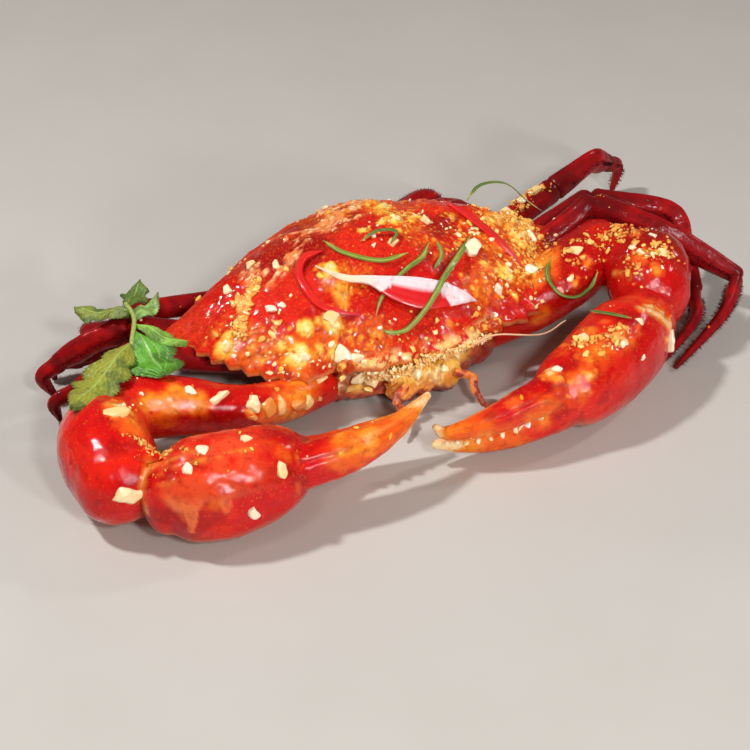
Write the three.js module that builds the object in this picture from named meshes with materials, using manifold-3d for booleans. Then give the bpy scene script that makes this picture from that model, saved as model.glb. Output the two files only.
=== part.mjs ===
// A whole cooked crab. It lies on its belly with both claws folded in front of
// its mouth, and is dressed with garlic, spring onion, red chilli and coriander.
//
// Millimetres, +Z up. The origin is on the surface that the crab rests on,
// under the middle of its body. +X runs across the shell, and the mouth faces -Y.

import * as THREE from 'three';
import { mergeVertices } from 'three/addons/utils/BufferGeometryUtils.js';
import Module from 'manifold-3d';

const wasm = await Module();
wasm.setup();

// ---------------------------------------------------------------- dimensions

const GAP = 0.35;              // clearance between pieces that lie against each other

const SHELL_CENTRE_Y = -2;     // where the dome is highest
const SHELL_TOP = 49;
const SHELL_FLOOR = 12;        // underside of the shell, just over the body
const SHELL_LIP = 3;           // thickness of the shell's edge
const DOME_POWER = 0.95;       // 1 is a plain dish, and less is fuller with a steeper edge

// Right half of the shell's edge from brow to tail: x, y, height.
const SHELL_EDGE = [
  [0, -50, 21], [12, -50.5, 21], [22, -49.5, 21], [31, -44.5, 20.5], [40, -45.5, 20.5],
  [53, -39.5, 21], [64, -29, 22.5], [72, -16.5, 23.5], [76, -4, 24.5], [66, 8.5, 22],
  [52.5, 21, 18.5], [38.5, 34, 16.5], [22, 41.5, 16], [0, 43, 16],
];
const BROW_SPAN = 2;           // the brow lobes run over the first two stretches
const BROW_LOBE = 1.8;
const TEETH_FROM = 4;          // the side teeth run over these stretches of the edge
const TEETH_TO = 8;
const TEETH = 9;
const TOOTH = 2.4;
const SPIKE = 2.2;             // the last tooth on each side
const TEETH_ROOT = 0.85;       // how far out from the centre the teeth start to rise

// Swellings and furrows of the shell: height, x, y, spread in x, spread in y.
// All but the middle ones are mirrored.
const SHELL_RELIEF = [
  [2.2, 0, -20, 18, 13], [1.5, 0, 20, 12, 10], [2.2, 38, 6, 18, 14],
  [1.2, 40, -27, 12, 9], [-2, 16, 4, 6, 12], [-1.4, 30, -12, 14, 5],
];

const BODY_HALF_WIDTH = 44;
const BODY_HALF_LENGTH = 35;
const BODY_HEIGHT = SHELL_FLOOR - GAP;

// The front of the body under the brow, lofted like a claw piece.
const FACE = [[-27, -35, 9, 9.5, 8.4], [0, -38, 9, 11, 8.4], [27, -35, 9, 9.5, 8.4]];
const EYE = { x: 28, y: -47, z: 22, stalk: 2.2, ball: 3.3 };
const MOUTH = { x: 7.8, y: -50.6, low: 4.4, high: 12.6, halfWidth: 7.2, halfDepth: 4.4 };

// Claw pieces, each lofted through stations: x, y, z, half width, half height.
// The spine is the pointed inner corner of a wrist.
const CLAWS = {
  left: {
    arm: [
      [-34, -38, 9, 7, 7], [-52, -45, 12.5, 7, 7.5], [-71, -45, 15, 8, 8.5],
      [-88, -40, 18.5, 9.5, 10.5], [-103, -37, 21, 10, 11],
    ],
    wrist: [[-109, -40, 20.5, 11, 11], [-119, -51, 20, 16, 16.5], [-120.5, -69, 18.5, 15, 15.5]],
    spine: [[-119, -66, 27.5, 9, 7], [-114, -73, 30, 5, 4], [-109.5, -80, 31.5, 0.8, 0.8]],
    palm: [
      [-109, -81.5, 17, 11.5, 13], [-101, -83.5, 17.4, 15, 17.2], [-88, -86, 17.9, 15.5, 17.4],
      [-73, -86, 18.7, 13.2, 15.2], [-59, -81, 14.5, 7.5, 8], [-45, -79, 13.5, 5.5, 6.5],
      [-31, -79, 15.5, 4, 5], [-17, -78, 19, 1.5, 2],
    ],
    finger: [
      [-66, -91.5, 21.5, 7, 8], [-48, -92.5, 22.8, 6.3, 6.9], [-31, -90, 25, 4, 4.3],
      [-15, -83, 28.5, 1.1, 1.3],
    ],
  },
  right: {
    arm: [[34, -33, 10, 7.5, 8], [52, -33, 15.5, 10.5, 10], [70, -30, 22, 12.5, 11.5], [86, -26, 27, 11, 11]],
    wrist: [[90, -33, 26, 12, 12], [95, -44, 24.5, 15.5, 16.5], [91, -55, 23, 14, 15]],
    palm: [
      [82, -67, 21, 11, 12.5], [69.5, -73, 18, 15, 17.5], [51, -82.5, 17.2, 14.5, 16.8],
      [36, -88, 16.3, 12, 13.7], [25, -90, 11, 7, 8], [12, -90, 8.5, 5, 6], [-1, -88, 8, 3.6, 4.6],
      [-13, -86, 9, 1.4, 1.8],
    ],
    finger: [
      [30, -91, 22, 6.8, 7.2], [17.5, -92.5, 20.5, 6, 6.2], [6, -92.5, 18, 4.8, 5],
      [-4, -91, 16, 3.2, 3.5], [-11, -88.5, 15, 2, 2.3], [-14, -87, 17.5, 1, 1.2],
    ],
  },
};

// Walking legs: hip, knee, wrist, ankle, tip. The last pair are the paddles.
const LEGS = {
  left_1: [[-42, -16, 7], [-94, -11, 24], [-105, -12, 20], [-114, -7, 12], [-122, -7, 1.4]],
  left_2: [[-43, -2, 7], [-92, 2, 26], [-104, 3, 23], [-117, 6, 16], [-119, 6, 1.4]],
  left_3: [[-42, 12, 7], [-84, 13, 12], [-96, 14, 12], [-106, 16, 8], [-116, 17, 1.4]],
  left_4: [[-34, 28, 7], [-78, 22, 17], [-86, 27, 13], [-90, 30, 8], [-98, 30, 3]],
  right_1: [[42, -12, 7], [91, -10, 36], [110.5, -31, 30], [133, -51, 15.5], [92, -74, 1.4]],
  right_2: [[43, 2, 7], [98, 3, 29], [125, -14, 25], [117.5, -46, 10], [91, -68, 1.4]],
  right_3: [[42, 15, 7], [98, 30, 19], [117, 34, 25], [129, 40, 19], [135, 44, 1.4]],
  right_4: [[34, 28, 7], [56, 44, 11], [66, 50, 9], [62, 60, 6], [48, 68, 3]],
};
const LEG_HALF = { thigh: [4.4, 5.6], knee: [4.6, 5.2], blade: [3, 5], ankle: [2.6, 3.6], tip: [0.9, 1] };
const PADDLE_HALF = { thigh: [4.6, 4.6], knee: [4.4, 4], blade: [5.5, 2.8], ankle: [4.5, 2], tip: [5, 1.2] };
const TIP_BOW = 5;             // how far a leg's last piece bows outwards

// The palps hang from the mouth: distance from the middle, y, z, half sizes.
const PALP = [
  [10, -56.8, 13, 2, 2.2], [15, -59, 11, 2, 2.2], [14.5, -62.5, 8, 1.8, 2], [15.5, -67, 4.5, 1.5, 1.6],
  [18, -70, 3.4, 0.9, 1],
];
const ANTENNA = [
  [20, -51, 18.5, 1.2, 1.2], [27, -54, 22.5, 0.7, 0.7], [42, -60, 22, 0.6, 0.6], [53, -58, 23.5, 0.5, 0.5],
];

// Big pieces of garlic on the shell: x, y, length. Smaller ones follow a rule.
const BIG_GARLIC = [
  [-63, -24, 7], [-42.5, -39, 9], [-28.7, -43, 6], [-36, -33, 5.5], [31.5, -25, 8],
  [-46, -22, 4], [-38, -7, 4], [8, 9, 4], [8, -8, 4], [21, -9, 4], [36, -38, 4.5], [54, -30, 4.5],
  [62, -14, 6], [-22, -19.5, 3.5],
];
const SMALL_GARLIC_COUNT = 6;
const SMALL_GARLIC_SPREAD = [64, 38];   // half width and half length of the stretch they lie on
const SMALL_GARLIC = [2.6, 4.2];        // shortest and longest
const GARLIC_FLATNESS = 0.6;

// Garlic on the limbs: x, y, z, length.
const LIMB_GARLIC = {
  claw_left_arm: [[-77, -48, 23.5, 6], [-66, -51, 19.5, 6], [-86, -45, 27, 4]],
  claw_left_wrist: [[-116, -56, 35, 7], [-126, -66, 30, 4], [-121.5, -81.5, 21.5, 8]],
  claw_left_palm: [
    [-97, -86, 34.5, 5.5], [-104, -90, 32, 5], [-87, -101, 17, 6], [-83, -87, 35, 4.5], [-75, -97.5, 28, 5],
  ],
  claw_right_arm: [[71, -33, 33.5, 4.5], [75, -38, 30.5, 4], [65, -40, 27.5, 4]],
  claw_right_wrist: [[88, -51, 38, 5], [95, -54, 38, 5], [96, -45, 40, 4], [89, -59, 35, 4.5]],
  claw_right_palm: [
    [83, -80, 20, 7], [30, -90, 27, 6], [46, -82, 33, 4.5], [58, -88, 31.5, 4.5], [68, -82, 33, 4],
  ],
  leg_right_3_thigh: [[73, 23, 19, 5], [81, 25.5, 21, 4], [89, 27.5, 22.5, 5]],
};

// Shreds that lie on the shell: x, y, lift over it, half width, half height. A
// shred lies over those before it.
const SHELL_SHREDS = {
  chilli_1: [
    [33, 1, 1.2, 0.6, 0.7], [38.5, -9, 1.5, 1.6, 0.8], [44, -20, 1.5, 2, 0.8], [50.5, -31, 1.3, 0.6, 0.7],
  ],
  chilli_2: [
    [-21.5, -11.5, 1.3, 0.9, 0.9], [-28, -11, 1.6, 1.3, 1.1], [-32.5, -16, 1.7, 1.4, 1.2],
    [-33.5, -24, 1.7, 1.4, 1.2], [-30, -32, 1.6, 1.3, 1.1], [-19, -37.5, 1.3, 0.8, 0.8],
  ],
  scallion_3: [
    [16, -21.5, 1.2, 1.3, 0.6], [10.5, -27, 1.4, 1.6, 0.6], [3, -29.5, 1.2, 1.4, 0.6],
    [-4, -32.5, 1.2, 1.3, 0.6], [-9.5, -35.5, 1.2, 1.1, 0.6], [-13.5, -39.4, 1.2, 0.8, 0.6],
  ],
  chilli_3: [
    [-27, -18, 1.5, 1, 0.8], [-20, -26.5, 2.2, 1.3, 0.9], [-12, -31.2, 3.2, 1.8, 1], [-4, -35.2, 3.4, 4.6, 1.1],
    [5, -38.2, 3, 5.8, 1.1], [14, -39.8, 2.4, 4.6, 1], [21, -40, 1.9, 2.6, 0.9], [26.5, -40, 1.5, 1, 0.9],
  ],
  scallion_1: [
    [-19, -7, 1.1, 1.2, 0.6], [-15.5, -17, 1.3, 1.5, 0.6], [-5, -25, 1.4, 1.5, 0.6], [6, -25, 1.6, 1.2, 0.6],
  ],
  scallion_2: [
    [-8, -15, 1.1, 0.9, 0.6], [-1, -14.5, 2.4, 1.1, 0.6], [5, -17.5, 3, 1.1, 0.6], [1, -21, 2, 0.9, 0.6],
  ],
  scallion_4: [[19.5, -21, 1.1, 1, 0.6], [19, -26, 1.5, 1.3, 0.6], [13.5, -31, 1.2, 1, 0.6]],
  scallion_5: [
    [36, -17.5, 1.2, 1, 0.6], [26, -27.6, 3, 1.8, 0.7], [15.4, -36, 4.9, 1.8, 0.7], [6, -42.5, 4.9, 1.6, 0.6],
    [-4, -45.5, 2.4, 1.5, 0.6], [-11, -44.8, 1.5, 1.2, 0.6], [-16, -41.5, 1.2, 0.8, 0.6],
  ],
};

// Shreds that lie elsewhere: x, y, z, half width, half height.
const LOOSE_SHREDS = {
  scallion_6: [
    [46, 6, 40.7, 1, 0.6], [54, 11.5, 42, 1.3, 0.6], [63.5, 14, 40, 1.5, 0.6], [70, 14.5, 36, 1.5, 0.6],
    [74.5, 10.5, 31, 1.3, 0.6], [78.5, 5, 28, 1, 0.6],
  ],
  scallion_7: [
    [62, -30.5, 31.5, 1.3, 0.6], [57, -37, 29.5, 1.4, 0.6], [58, -44, 25.5, 0.9, 0.6],
    [64, -46.5, 23.5, 0.9, 0.6], [71, -45, 25, 1.2, 0.6], [75.5, -42, 28.5, 1.5, 0.6],
  ],
  scallion_8: [[55, -70.5, 34.8, 0.9, 0.6], [59, -76.5, 36.2, 1.2, 0.6], [65, -82, 35.8, 0.8, 0.6]],
};

// Coriander leaflets: base, tip, half width, lobes. The stem joins their bases.
const LEAFLETS = [
  [[-97, -19, 34], [-128, -49, 37], 7.5, 4], [[-93, -13, 34], [-93, -38, 33], 8.5, 3],
  [[-91.8, -9, 34], [-78, -21, 29.5], 3.4, 2], [[-91, -5, 34], [-78, 6, 33.5], 3.4, 2],
  [[-90.6, 0, 33.8], [-107, 11, 32.5], 4.2, 3], [[-90.3, 4, 33.5], [-80, 20, 31], 4.2, 3],
];
const CORIANDER_STEM = [[-90, 6, 33.2, 0.8, 0.8], [-91, -5, 34, 0.8, 0.8], [-97, -19, 34, 0.8, 0.8]];
const LEAF_ROWS = 6;
const LEAF_THICKNESS = 0.7;
const LEAF_WAVE = 1.1;
const LEAF_DROOP = 1.6;        // how far the sides hang below the midrib

// ------------------------------------------------------------------- meshing

// Skins a row of rings between two poles. Seen from the first pole the rings
// run anticlockwise, so that the faces point outwards.
function skin(firstPole, rings, lastPole) {
  const sides = rings[0].length;
  const points = [firstPole, ...rings.flat(), lastPole];
  const last = points.length - 1;
  const at = (ring, side) => 1 + ring * sides + (side % sides);
  const faces = [];
  for (let side = 0; side < sides; side += 1) {
    faces.push(0, at(0, side), at(0, side + 1));
    for (let ring = 0; ring + 1 < rings.length; ring += 1) {
      faces.push(at(ring, side), at(ring + 1, side), at(ring, side + 1));
      faces.push(at(ring, side + 1), at(ring + 1, side), at(ring + 1, side + 1));
    }
    faces.push(last, at(rings.length - 1, side + 1), at(rings.length - 1, side));
  }
  const geometry = new THREE.BufferGeometry().setFromPoints(points);
  geometry.setIndex(faces);
  return geometry;
}

function curveThrough(points) {
  const curve = new THREE.CatmullRomCurve3(points);
  curve.curveType = 'catmullrom';
  return curve;
}

// A limb lofted through its stations, with rounded ends. `cap` is the bulge of
// the ends over their mean half size, in `capRings` rings, and `power` above 2
// squares the section. `upAt` gives the way up at a point, and without it the
// section doesn't twist.
function limb(stations, { sides = 10, steps = 2, cap = [0.7, 0.9], capRings = 1, power = 2.2, upAt } = {}) {
  const centres = curveThrough(stations.map(([x, y, z]) => new THREE.Vector3(x, y, z)));
  const sizes = curveThrough(stations.map(([, , , width, height]) => new THREE.Vector3(width, height, 0)));
  const count = (stations.length - 1) * steps;
  const side = new THREE.Vector3();
  const along = (k) => centres.getTangent(k / count);
  const rounded = (value) => Math.sign(value) * Math.abs(value) ** (2 / power);

  const section = (centre, tangent, half) => {
    const up = new THREE.Vector3().crossVectors(side, tangent);
    return Array.from({ length: sides }, (_, j) => {
      const angle = ((j + 0.5) / sides) * Math.PI * 2;
      return centre.clone().addScaledVector(side, half.x * rounded(Math.cos(angle)))
        .addScaledVector(up, half.y * rounded(Math.sin(angle)));
    });
  };
  const tipOf = (k, bulge) => {
    const half = sizes.getPoint(k / count);
    return centres.getPoint(k / count).addScaledVector(along(k), bulge * (half.x + half.y) / 2);
  };
  const capSection = (k, bulge, turn) => {
    const centre = centres.getPoint(k / count).lerp(tipOf(k, bulge), Math.sin(turn));
    return section(centre, along(k), sizes.getPoint(k / count).multiplyScalar(Math.cos(turn)));
  };

  side.crossVectors(along(0), new THREE.Vector3(0, 0, 1)).normalize();
  const turns = Array.from({ length: capRings }, (_, k) => ((k + 1) / (capRings + 1)) * Math.PI / 2);
  const firstEnd = turns.map((turn) => capSection(0, -cap[0], turn)).reverse();
  const rings = [];
  for (let k = 0; k <= count; k += 1) {
    const centre = centres.getPoint(k / count);
    const tangent = along(k);
    if (upAt) side.crossVectors(tangent, upAt(centre));
    side.addScaledVector(tangent, -side.dot(tangent)).normalize();
    rings.push(section(centre, tangent, sizes.getPoint(k / count)));
  }
  const lastEnd = turns.map((turn) => capSection(count, cap[1], turn));
  return skin(tipOf(0, -cap[0]), [...firstEnd, ...rings, ...lastEnd], tipOf(count, cap[1]));
}

// --------------------------------------------------------- joining and cutting

function toSolid(geometry) {
  const bare = new THREE.BufferGeometry();
  bare.setAttribute('position', geometry.getAttribute('position'));
  if (geometry.index) bare.setIndex(geometry.index);
  const merged = mergeVertices(bare, 1e-4);
  return new wasm.Manifold(new wasm.Mesh({
    numProp: 3,
    vertProperties: new Float32Array(merged.getAttribute('position').array),
    triVerts: new Uint32Array(merged.index.array),
  }));
}

function toGeometry(solid) {
  const mesh = solid.getMesh();
  const geometry = new THREE.BufferGeometry();
  geometry.setAttribute('position', new THREE.BufferAttribute(new Float32Array(mesh.vertProperties), 3));
  geometry.setIndex(new THREE.BufferAttribute(new Uint32Array(mesh.triVerts), 1));
  return geometry;
}

// The same shape, with every point moved outwards along its normal.
function grown(geometry, distance) {
  const copy = toGeometry(toSolid(geometry));
  copy.computeVertexNormals();
  const position = copy.getAttribute('position');
  const normal = copy.getAttribute('normal');
  for (let i = 0; i < position.count; i += 1) {
    position.setXYZ(i, position.getX(i) + normal.getX(i) * distance,
      position.getY(i) + normal.getY(i) * distance, position.getZ(i) + normal.getZ(i) * distance);
  }
  return copy;
}

function largestBody(solid) {
  const bodies = solid.decompose();
  return bodies.reduce((best, body) => (body.volume() > best.volume() ? body : best));
}

function joined(geometry, additions) {
  const whole = additions.reduce((solid, addition) => solid.add(toSolid(addition)), toSolid(geometry));
  return toGeometry(largestBody(whole));
}

// Cuts a piece back from its neighbours, so that a gap stays between them.
function clearOf(geometry, neighbours) {
  const keptFree = neighbours.flatMap((other) => [toSolid(other), toSolid(grown(other, GAP))]);
  const cut = keptFree.reduce((solid, space) => solid.subtract(space), toSolid(geometry));
  return toGeometry(largestBody(cut));
}

// ----------------------------------------------------------------- the shell

// A point of the right half of the edge, and the tooth or lobe that pushes it
// outwards. `run` counts the edge's stretches from the brow.
const edgeCurve = curveThrough(SHELL_EDGE.map(([x, y, z]) => new THREE.Vector3(x, y, z)));

function toothHeight(run) {
  const sawtooth = (phase) => 1 - Math.abs(2 * (phase % 1) - 1);
  if (run < BROW_SPAN) return BROW_LOBE * sawtooth(run);
  if (run === TEETH_TO) return SPIKE;
  if (run < TEETH_FROM || run > TEETH_TO) return 0;
  return TOOTH * sawtooth(((run - TEETH_FROM) * TEETH) / (TEETH_TO - TEETH_FROM));
}

function edgePoint(run) {
  const last = SHELL_EDGE.length - 1;
  const tangent = edgeCurve.getTangent(run / last);
  const outward = new THREE.Vector3(tangent.y, -tangent.x, 0).normalize();
  return { at: edgeCurve.getPoint(run / last), tooth: outward.multiplyScalar(toothHeight(run)) };
}

// Runs round half the edge, with a point on each tooth and in each notch.
function edgeRuns() {
  const last = SHELL_EDGE.length - 1;
  const toothStep = (TEETH_TO - TEETH_FROM) / TEETH / 2;
  const runs = [];
  for (let run = 0; run < TEETH_FROM; run += 0.5) runs.push(run);
  for (let k = 0; k < TEETH * 2; k += 1) runs.push(TEETH_FROM + k * toothStep);
  for (let run = TEETH_TO; run <= last; run += 0.5) runs.push(run);
  return runs;
}

function mirrored({ at, tooth }) {
  const flipped = (point) => new THREE.Vector3(-point.x, point.y, point.z);
  return { at: flipped(at), tooth: flipped(tooth) };
}

const rightEdge = edgeRuns().map(edgePoint);
const shellEdge = [...rightEdge, ...rightEdge.slice(1, -1).map(mirrored).reverse()];

function relief(x, y) {
  return SHELL_RELIEF.reduce((sum, [height, cx, cy, sx, sy]) => {
    const bump = (centre) => height * Math.exp(-(((x - centre) / sx) ** 2) - ((y - cy) / sy) ** 2);
    return sum + bump(cx) + (cx === 0 ? 0 : bump(-cx));
  }, 0);
}

// Height of the shell's top, `part` of the way from its centre to its edge.
function shellTop(x, y, part, edgeHeight) {
  const dome = (1 - part * part) ** DOME_POWER;
  return edgeHeight + (SHELL_TOP - edgeHeight) * dome + relief(x, y) * (1 - part ** 4);
}

// The same height over any point inside the edge.
function shellHeight(x, y) {
  const dy = y - SHELL_CENTRE_Y;
  for (let i = 0; i < shellEdge.length; i += 1) {
    const a = shellEdge[i].at;
    const b = shellEdge[(i + 1) % shellEdge.length].at;
    const [ax, ay, bx, by] = [a.x, a.y - SHELL_CENTRE_Y, b.x, b.y - SHELL_CENTRE_Y];
    const whole = ax * by - ay * bx;
    const toB = (ax * dy - ay * x) / whole;
    const toA = (x * by - dy * bx) / whole;
    if (toA >= 0 && toB >= 0) {
      const part = Math.min(toA + toB, 1);
      const share = toA + toB > 0 ? toB / (toA + toB) : 0;
      return shellTop(x, y, part, a.z + (b.z - a.z) * share);
    }
  }
  return 0;
}

function bareShell() {
  const onTop = [0.24, 0.46, 0.66, 0.83, 0.95];
  const ring = (part, height) => shellEdge.map(({ at, tooth }) => {
    const x = at.x * part;
    const y = SHELL_CENTRE_Y + (at.y - SHELL_CENTRE_Y) * part;
    const toothShare = Math.max(part - TEETH_ROOT, 0) / (1 - TEETH_ROOT);
    return new THREE.Vector3(x, y, height(x, y, part, at.z)).addScaledVector(tooth, toothShare);
  });
  const rings = onTop.map((part) => ring(part, shellTop));
  rings.push(ring(1, (x, y, part, edgeHeight) => edgeHeight));
  rings.push(ring(0.97, (x, y, part, edgeHeight) => edgeHeight - SHELL_LIP));
  rings.push(ring(0.7, () => SHELL_FLOOR));
  const middle = (z) => new THREE.Vector3(0, SHELL_CENTRE_Y, z);
  return skin(middle(shellTop(0, SHELL_CENTRE_Y, 0, 0)), rings, middle(SHELL_FLOOR));
}

// --------------------------------------------------------------------- garlic

// A chopped piece: a flattened, turned twenty-sided lump.
function garlicPiece(centre, length, turn) {
  const lump = new THREE.IcosahedronGeometry(length / 2, 0);
  lump.scale(1, 0.8, GARLIC_FLATNESS);
  lump.rotateX(0.3 * Math.sin(turn * 7));
  lump.rotateZ(turn);
  lump.translate(centre.x, centre.y, centre.z);
  return lump;
}

// An even scatter over the unit square that never repeats.
function scatter(k) {
  return [(0.5 + k * 0.7548776662) % 1, (0.5 + k * 0.5698402910) % 1];
}

function nearShred(x, y) {
  const clearance = 5;
  return Object.values(SHELL_SHREDS).some((path) => path.slice(1).some((end, k) => {
    const [x0, y0] = path[k];
    const [dx, dy] = [end[0] - x0, end[1] - y0];
    const along = ((x - x0) * dx + (y - y0) * dy) / (dx * dx + dy * dy);
    const t = Math.min(Math.max(along, 0), 1);
    return Math.hypot(x - x0 - t * dx, y - y0 - t * dy) < clearance;
  }));
}

function shellGarlic() {
  const onShell = (x, y, length, turn) => {
    const centre = new THREE.Vector3(x, y, shellHeight(x, y) + length * 0.1);
    return garlicPiece(centre, length, turn);
  };
  const pieces = BIG_GARLIC.map(([x, y, length], k) => onShell(x, y, length, k));
  const [shortest, longest] = SMALL_GARLIC;
  const [halfWidth, halfLength] = SMALL_GARLIC_SPREAD;
  for (let k = 0; k < SMALL_GARLIC_COUNT; k += 1) {
    const [a, b] = scatter(k);
    const angle = a * Math.PI * 2;
    const x = halfWidth * Math.sqrt(b) * Math.cos(angle);
    const y = SHELL_CENTRE_Y + halfLength * Math.sqrt(b) * Math.sin(angle);
    const length = shortest + (longest - shortest) * ((a * 13) % 1);
    if (!nearShred(x, y)) pieces.push(onShell(x, y, length, k));
  }
  return pieces;
}

function withGarlic(name, geometry) {
  const pieces = (LIMB_GARLIC[name] ?? []).map(([x, y, z, length], k) => {
    return garlicPiece(new THREE.Vector3(x, y, z), length, k);
  });
  return joined(geometry, pieces);
}

// ----------------------------------------------------------------------- body

function body(shell) {
  const around = 20;
  const level = (z, scale) => Array.from({ length: around }, (_, k) => {
    const angle = (k / around) * Math.PI * 2;
    const x = Math.sign(Math.cos(angle)) * Math.abs(Math.cos(angle)) ** 0.75;
    const y = Math.sign(Math.sin(angle)) * Math.abs(Math.sin(angle)) ** 0.75;
    return new THREE.Vector3(BODY_HALF_WIDTH * scale * x, BODY_HALF_LENGTH * scale * y, z);
  });
  const slab = skin(new THREE.Vector3(0, 0, BODY_HEIGHT),
    [level(BODY_HEIGHT, 0.94), level(9, 1), level(3.5, 0.95), level(0, 0.8)], new THREE.Vector3(0, 0, 0));
  const face = limb(FACE, { sides: 10 });
  return clearOf(joined(slab, [face]), [shell]);
}

function eye(side, neighbours) {
  const { x, y, z, stalk, ball } = EYE;
  const stations = [
    [side * (x - 6), y + 4, z - 1.5, stalk, stalk], [side * (x - 1), y, z - 0.5, stalk, stalk],
    [side * (x + 2), y - 1.5, z, ball, ball],
  ];
  return clearOf(limb(stations, { sides: 8 }), neighbours);
}

function mouthFlap(side, neighbours) {
  const { x, y, low, high, halfWidth, halfDepth } = MOUTH;
  const stations = [
    [side * x, y + 3, low, halfWidth * 0.7, halfDepth],
    [side * x, y - 0.5, (low + high) / 2, halfWidth, halfDepth],
    [side * x, y, high, halfWidth * 0.8, halfDepth],
  ];
  return clearOf(limb(stations, { sides: 6 }), neighbours);
}

function palp(side, neighbours) {
  const stations = PALP.map(([x, ...rest]) => [side * x, ...rest]);
  return clearOf(limb(stations, { sides: 6 }), neighbours);
}

// ---------------------------------------------------------------------- limbs

function legPieces(name, joints, shell, trunk) {
  const half = name.endsWith('4') ? PADDLE_HALF : LEG_HALF;
  const [hip, knee, wrist, ankle, tip] = joints;
  const between = (a, b, t) => a.map((value, k) => value + (b[k] - value) * t);
  const slimmer = (size) => size.map((value) => value * 0.8);
  const reach = Math.hypot(ankle[0], ankle[1]);
  const bow = [(TIP_BOW * ankle[0]) / reach, (TIP_BOW * ankle[1]) / reach, TIP_BOW / 2];
  const bowed = between(ankle, tip, 0.5).map((value, k) => value + bow[k]);
  const thigh = limb([
    [...hip, ...half.knee], [...between(hip, knee, 0.5), ...half.thigh],
    [...between(hip, knee, 0.97), ...half.knee],
  ], { sides: 7 });
  const shin = limb([
    [...between(knee, wrist, 0.1), ...half.knee], [...wrist, ...half.blade],
    [...between(wrist, ankle, 0.55), ...half.blade], [...between(wrist, ankle, 0.95), ...half.ankle],
  ], { sides: 6 });
  const tipPiece = limb([
    [...between(ankle, tip, 0.05), ...half.ankle], [...bowed, ...slimmer(half.ankle)], [...tip, ...half.tip],
  ], { sides: 6 });
  return {
    thigh: clearOf(withGarlic(`leg_${name}_thigh`, thigh), [shell, trunk]),
    shin: clearOf(shin, [thigh, shell]),
    tip: clearOf(tipPiece, [shin]),
  };
}

function clawPieces(side, neighbours) {
  const stations = CLAWS[side];
  const dressed = (piece, options) => withGarlic(`claw_${side}_${piece}`, limb(stations[piece], options));
  const palm = dressed('palm', { sides: 12 });
  const finger = clearOf(dressed('finger', { sides: 10 }), [palm]);
  const spines = stations.spine ? [limb(stations.spine, { sides: 5, steps: 1 })] : [];
  const ball = dressed('wrist', { sides: 12, steps: 3, cap: [0.9, 0.9], capRings: 2 });
  const wrist = clearOf(joined(ball, spines), [palm]);
  const arm = clearOf(dressed('arm', { sides: 9 }), [wrist, palm, ...neighbours]);
  return { palm, finger, wrist, arm };
}

// ------------------------------------------------------------------ garnishes

function shellNormal(point) {
  const step = 1;
  const slopeX = (shellHeight(point.x + step, point.y) - shellHeight(point.x - step, point.y)) / (2 * step);
  const slopeY = (shellHeight(point.x, point.y + step) - shellHeight(point.x, point.y - step)) / (2 * step);
  return new THREE.Vector3(-slopeX, -slopeY, 1).normalize();
}

function shellShred(path, neighbours) {
  const stations = path.map(([x, y, lift, w, h]) => [x, y, shellHeight(x, y) + lift, w, h]);
  return clearOf(limb(stations, { sides: 4, power: 4, upAt: shellNormal }), neighbours);
}

// A thin wavy leaf from base to tip. Both faces are split into the same
// triangles, and walls join their edges.
function leaf(base, tip, halfWidth, lobes) {
  const from = new THREE.Vector3(...base);
  const along = new THREE.Vector3(...tip).sub(from);
  const across = new THREE.Vector3().crossVectors(along, new THREE.Vector3(0, 0, 1)).normalize();
  const up = new THREE.Vector3().crossVectors(across, along).normalize();
  const halfAcross = (u) => {
    const outline = Math.sin(Math.PI * u ** 0.75) ** 0.8;
    return halfWidth * (0.12 + outline * (0.8 + 0.2 * Math.cos(2 * Math.PI * lobes * u)));
  };
  const point = (row, column, lift) => {
    const u = row / (LEAF_ROWS - 1);
    const wave = LEAF_WAVE * Math.sin(2.5 * Math.PI * u + column);
    return from.clone().addScaledVector(along, u).addScaledVector(across, column * halfAcross(u))
      .addScaledVector(up, wave - LEAF_DROOP * Math.abs(column) + lift);
  };
  const points = [];
  for (const lift of [LEAF_THICKNESS / 2, -LEAF_THICKNESS / 2]) {
    for (let row = 0; row < LEAF_ROWS; row += 1) {
      for (const column of [-1, 0, 1]) points.push(point(row, column, lift));
    }
  }
  const under = LEAF_ROWS * 3;
  const faces = [];
  const quad = (a, b, c, d) => faces.push(a, b, c, a, c, d);
  for (let row = 0; row + 1 < LEAF_ROWS; row += 1) {
    const [near, far] = [row * 3, row * 3 + 3];
    for (const column of [0, 1]) {
      quad(near + column, near + column + 1, far + column + 1, far + column);
      faces.push(under + near + column, under + far + column + 1, under + near + column + 1);
      faces.push(under + near + column, under + far + column, under + far + column + 1);
    }
    quad(near, far, under + far, under + near);
    quad(near + 2, under + near + 2, under + far + 2, far + 2);
  }
  const last = (LEAF_ROWS - 1) * 3;
  for (const column of [0, 1]) {
    quad(column, under + column, under + column + 1, column + 1);
    quad(last + column, last + column + 1, under + last + column + 1, under + last + column);
  }
  const geometry = new THREE.BufferGeometry().setFromPoints(points);
  geometry.setIndex(faces);
  return geometry;
}

function coriander(neighbours) {
  const stem = limb(CORIANDER_STEM, { sides: 4 });
  const leaflets = LEAFLETS.map(([base, tip, halfWidth, lobes]) => leaf(base, tip, halfWidth, lobes));
  return clearOf(joined(stem, leaflets), neighbours);
}

// ------------------------------------------------------------------- assembly

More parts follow.
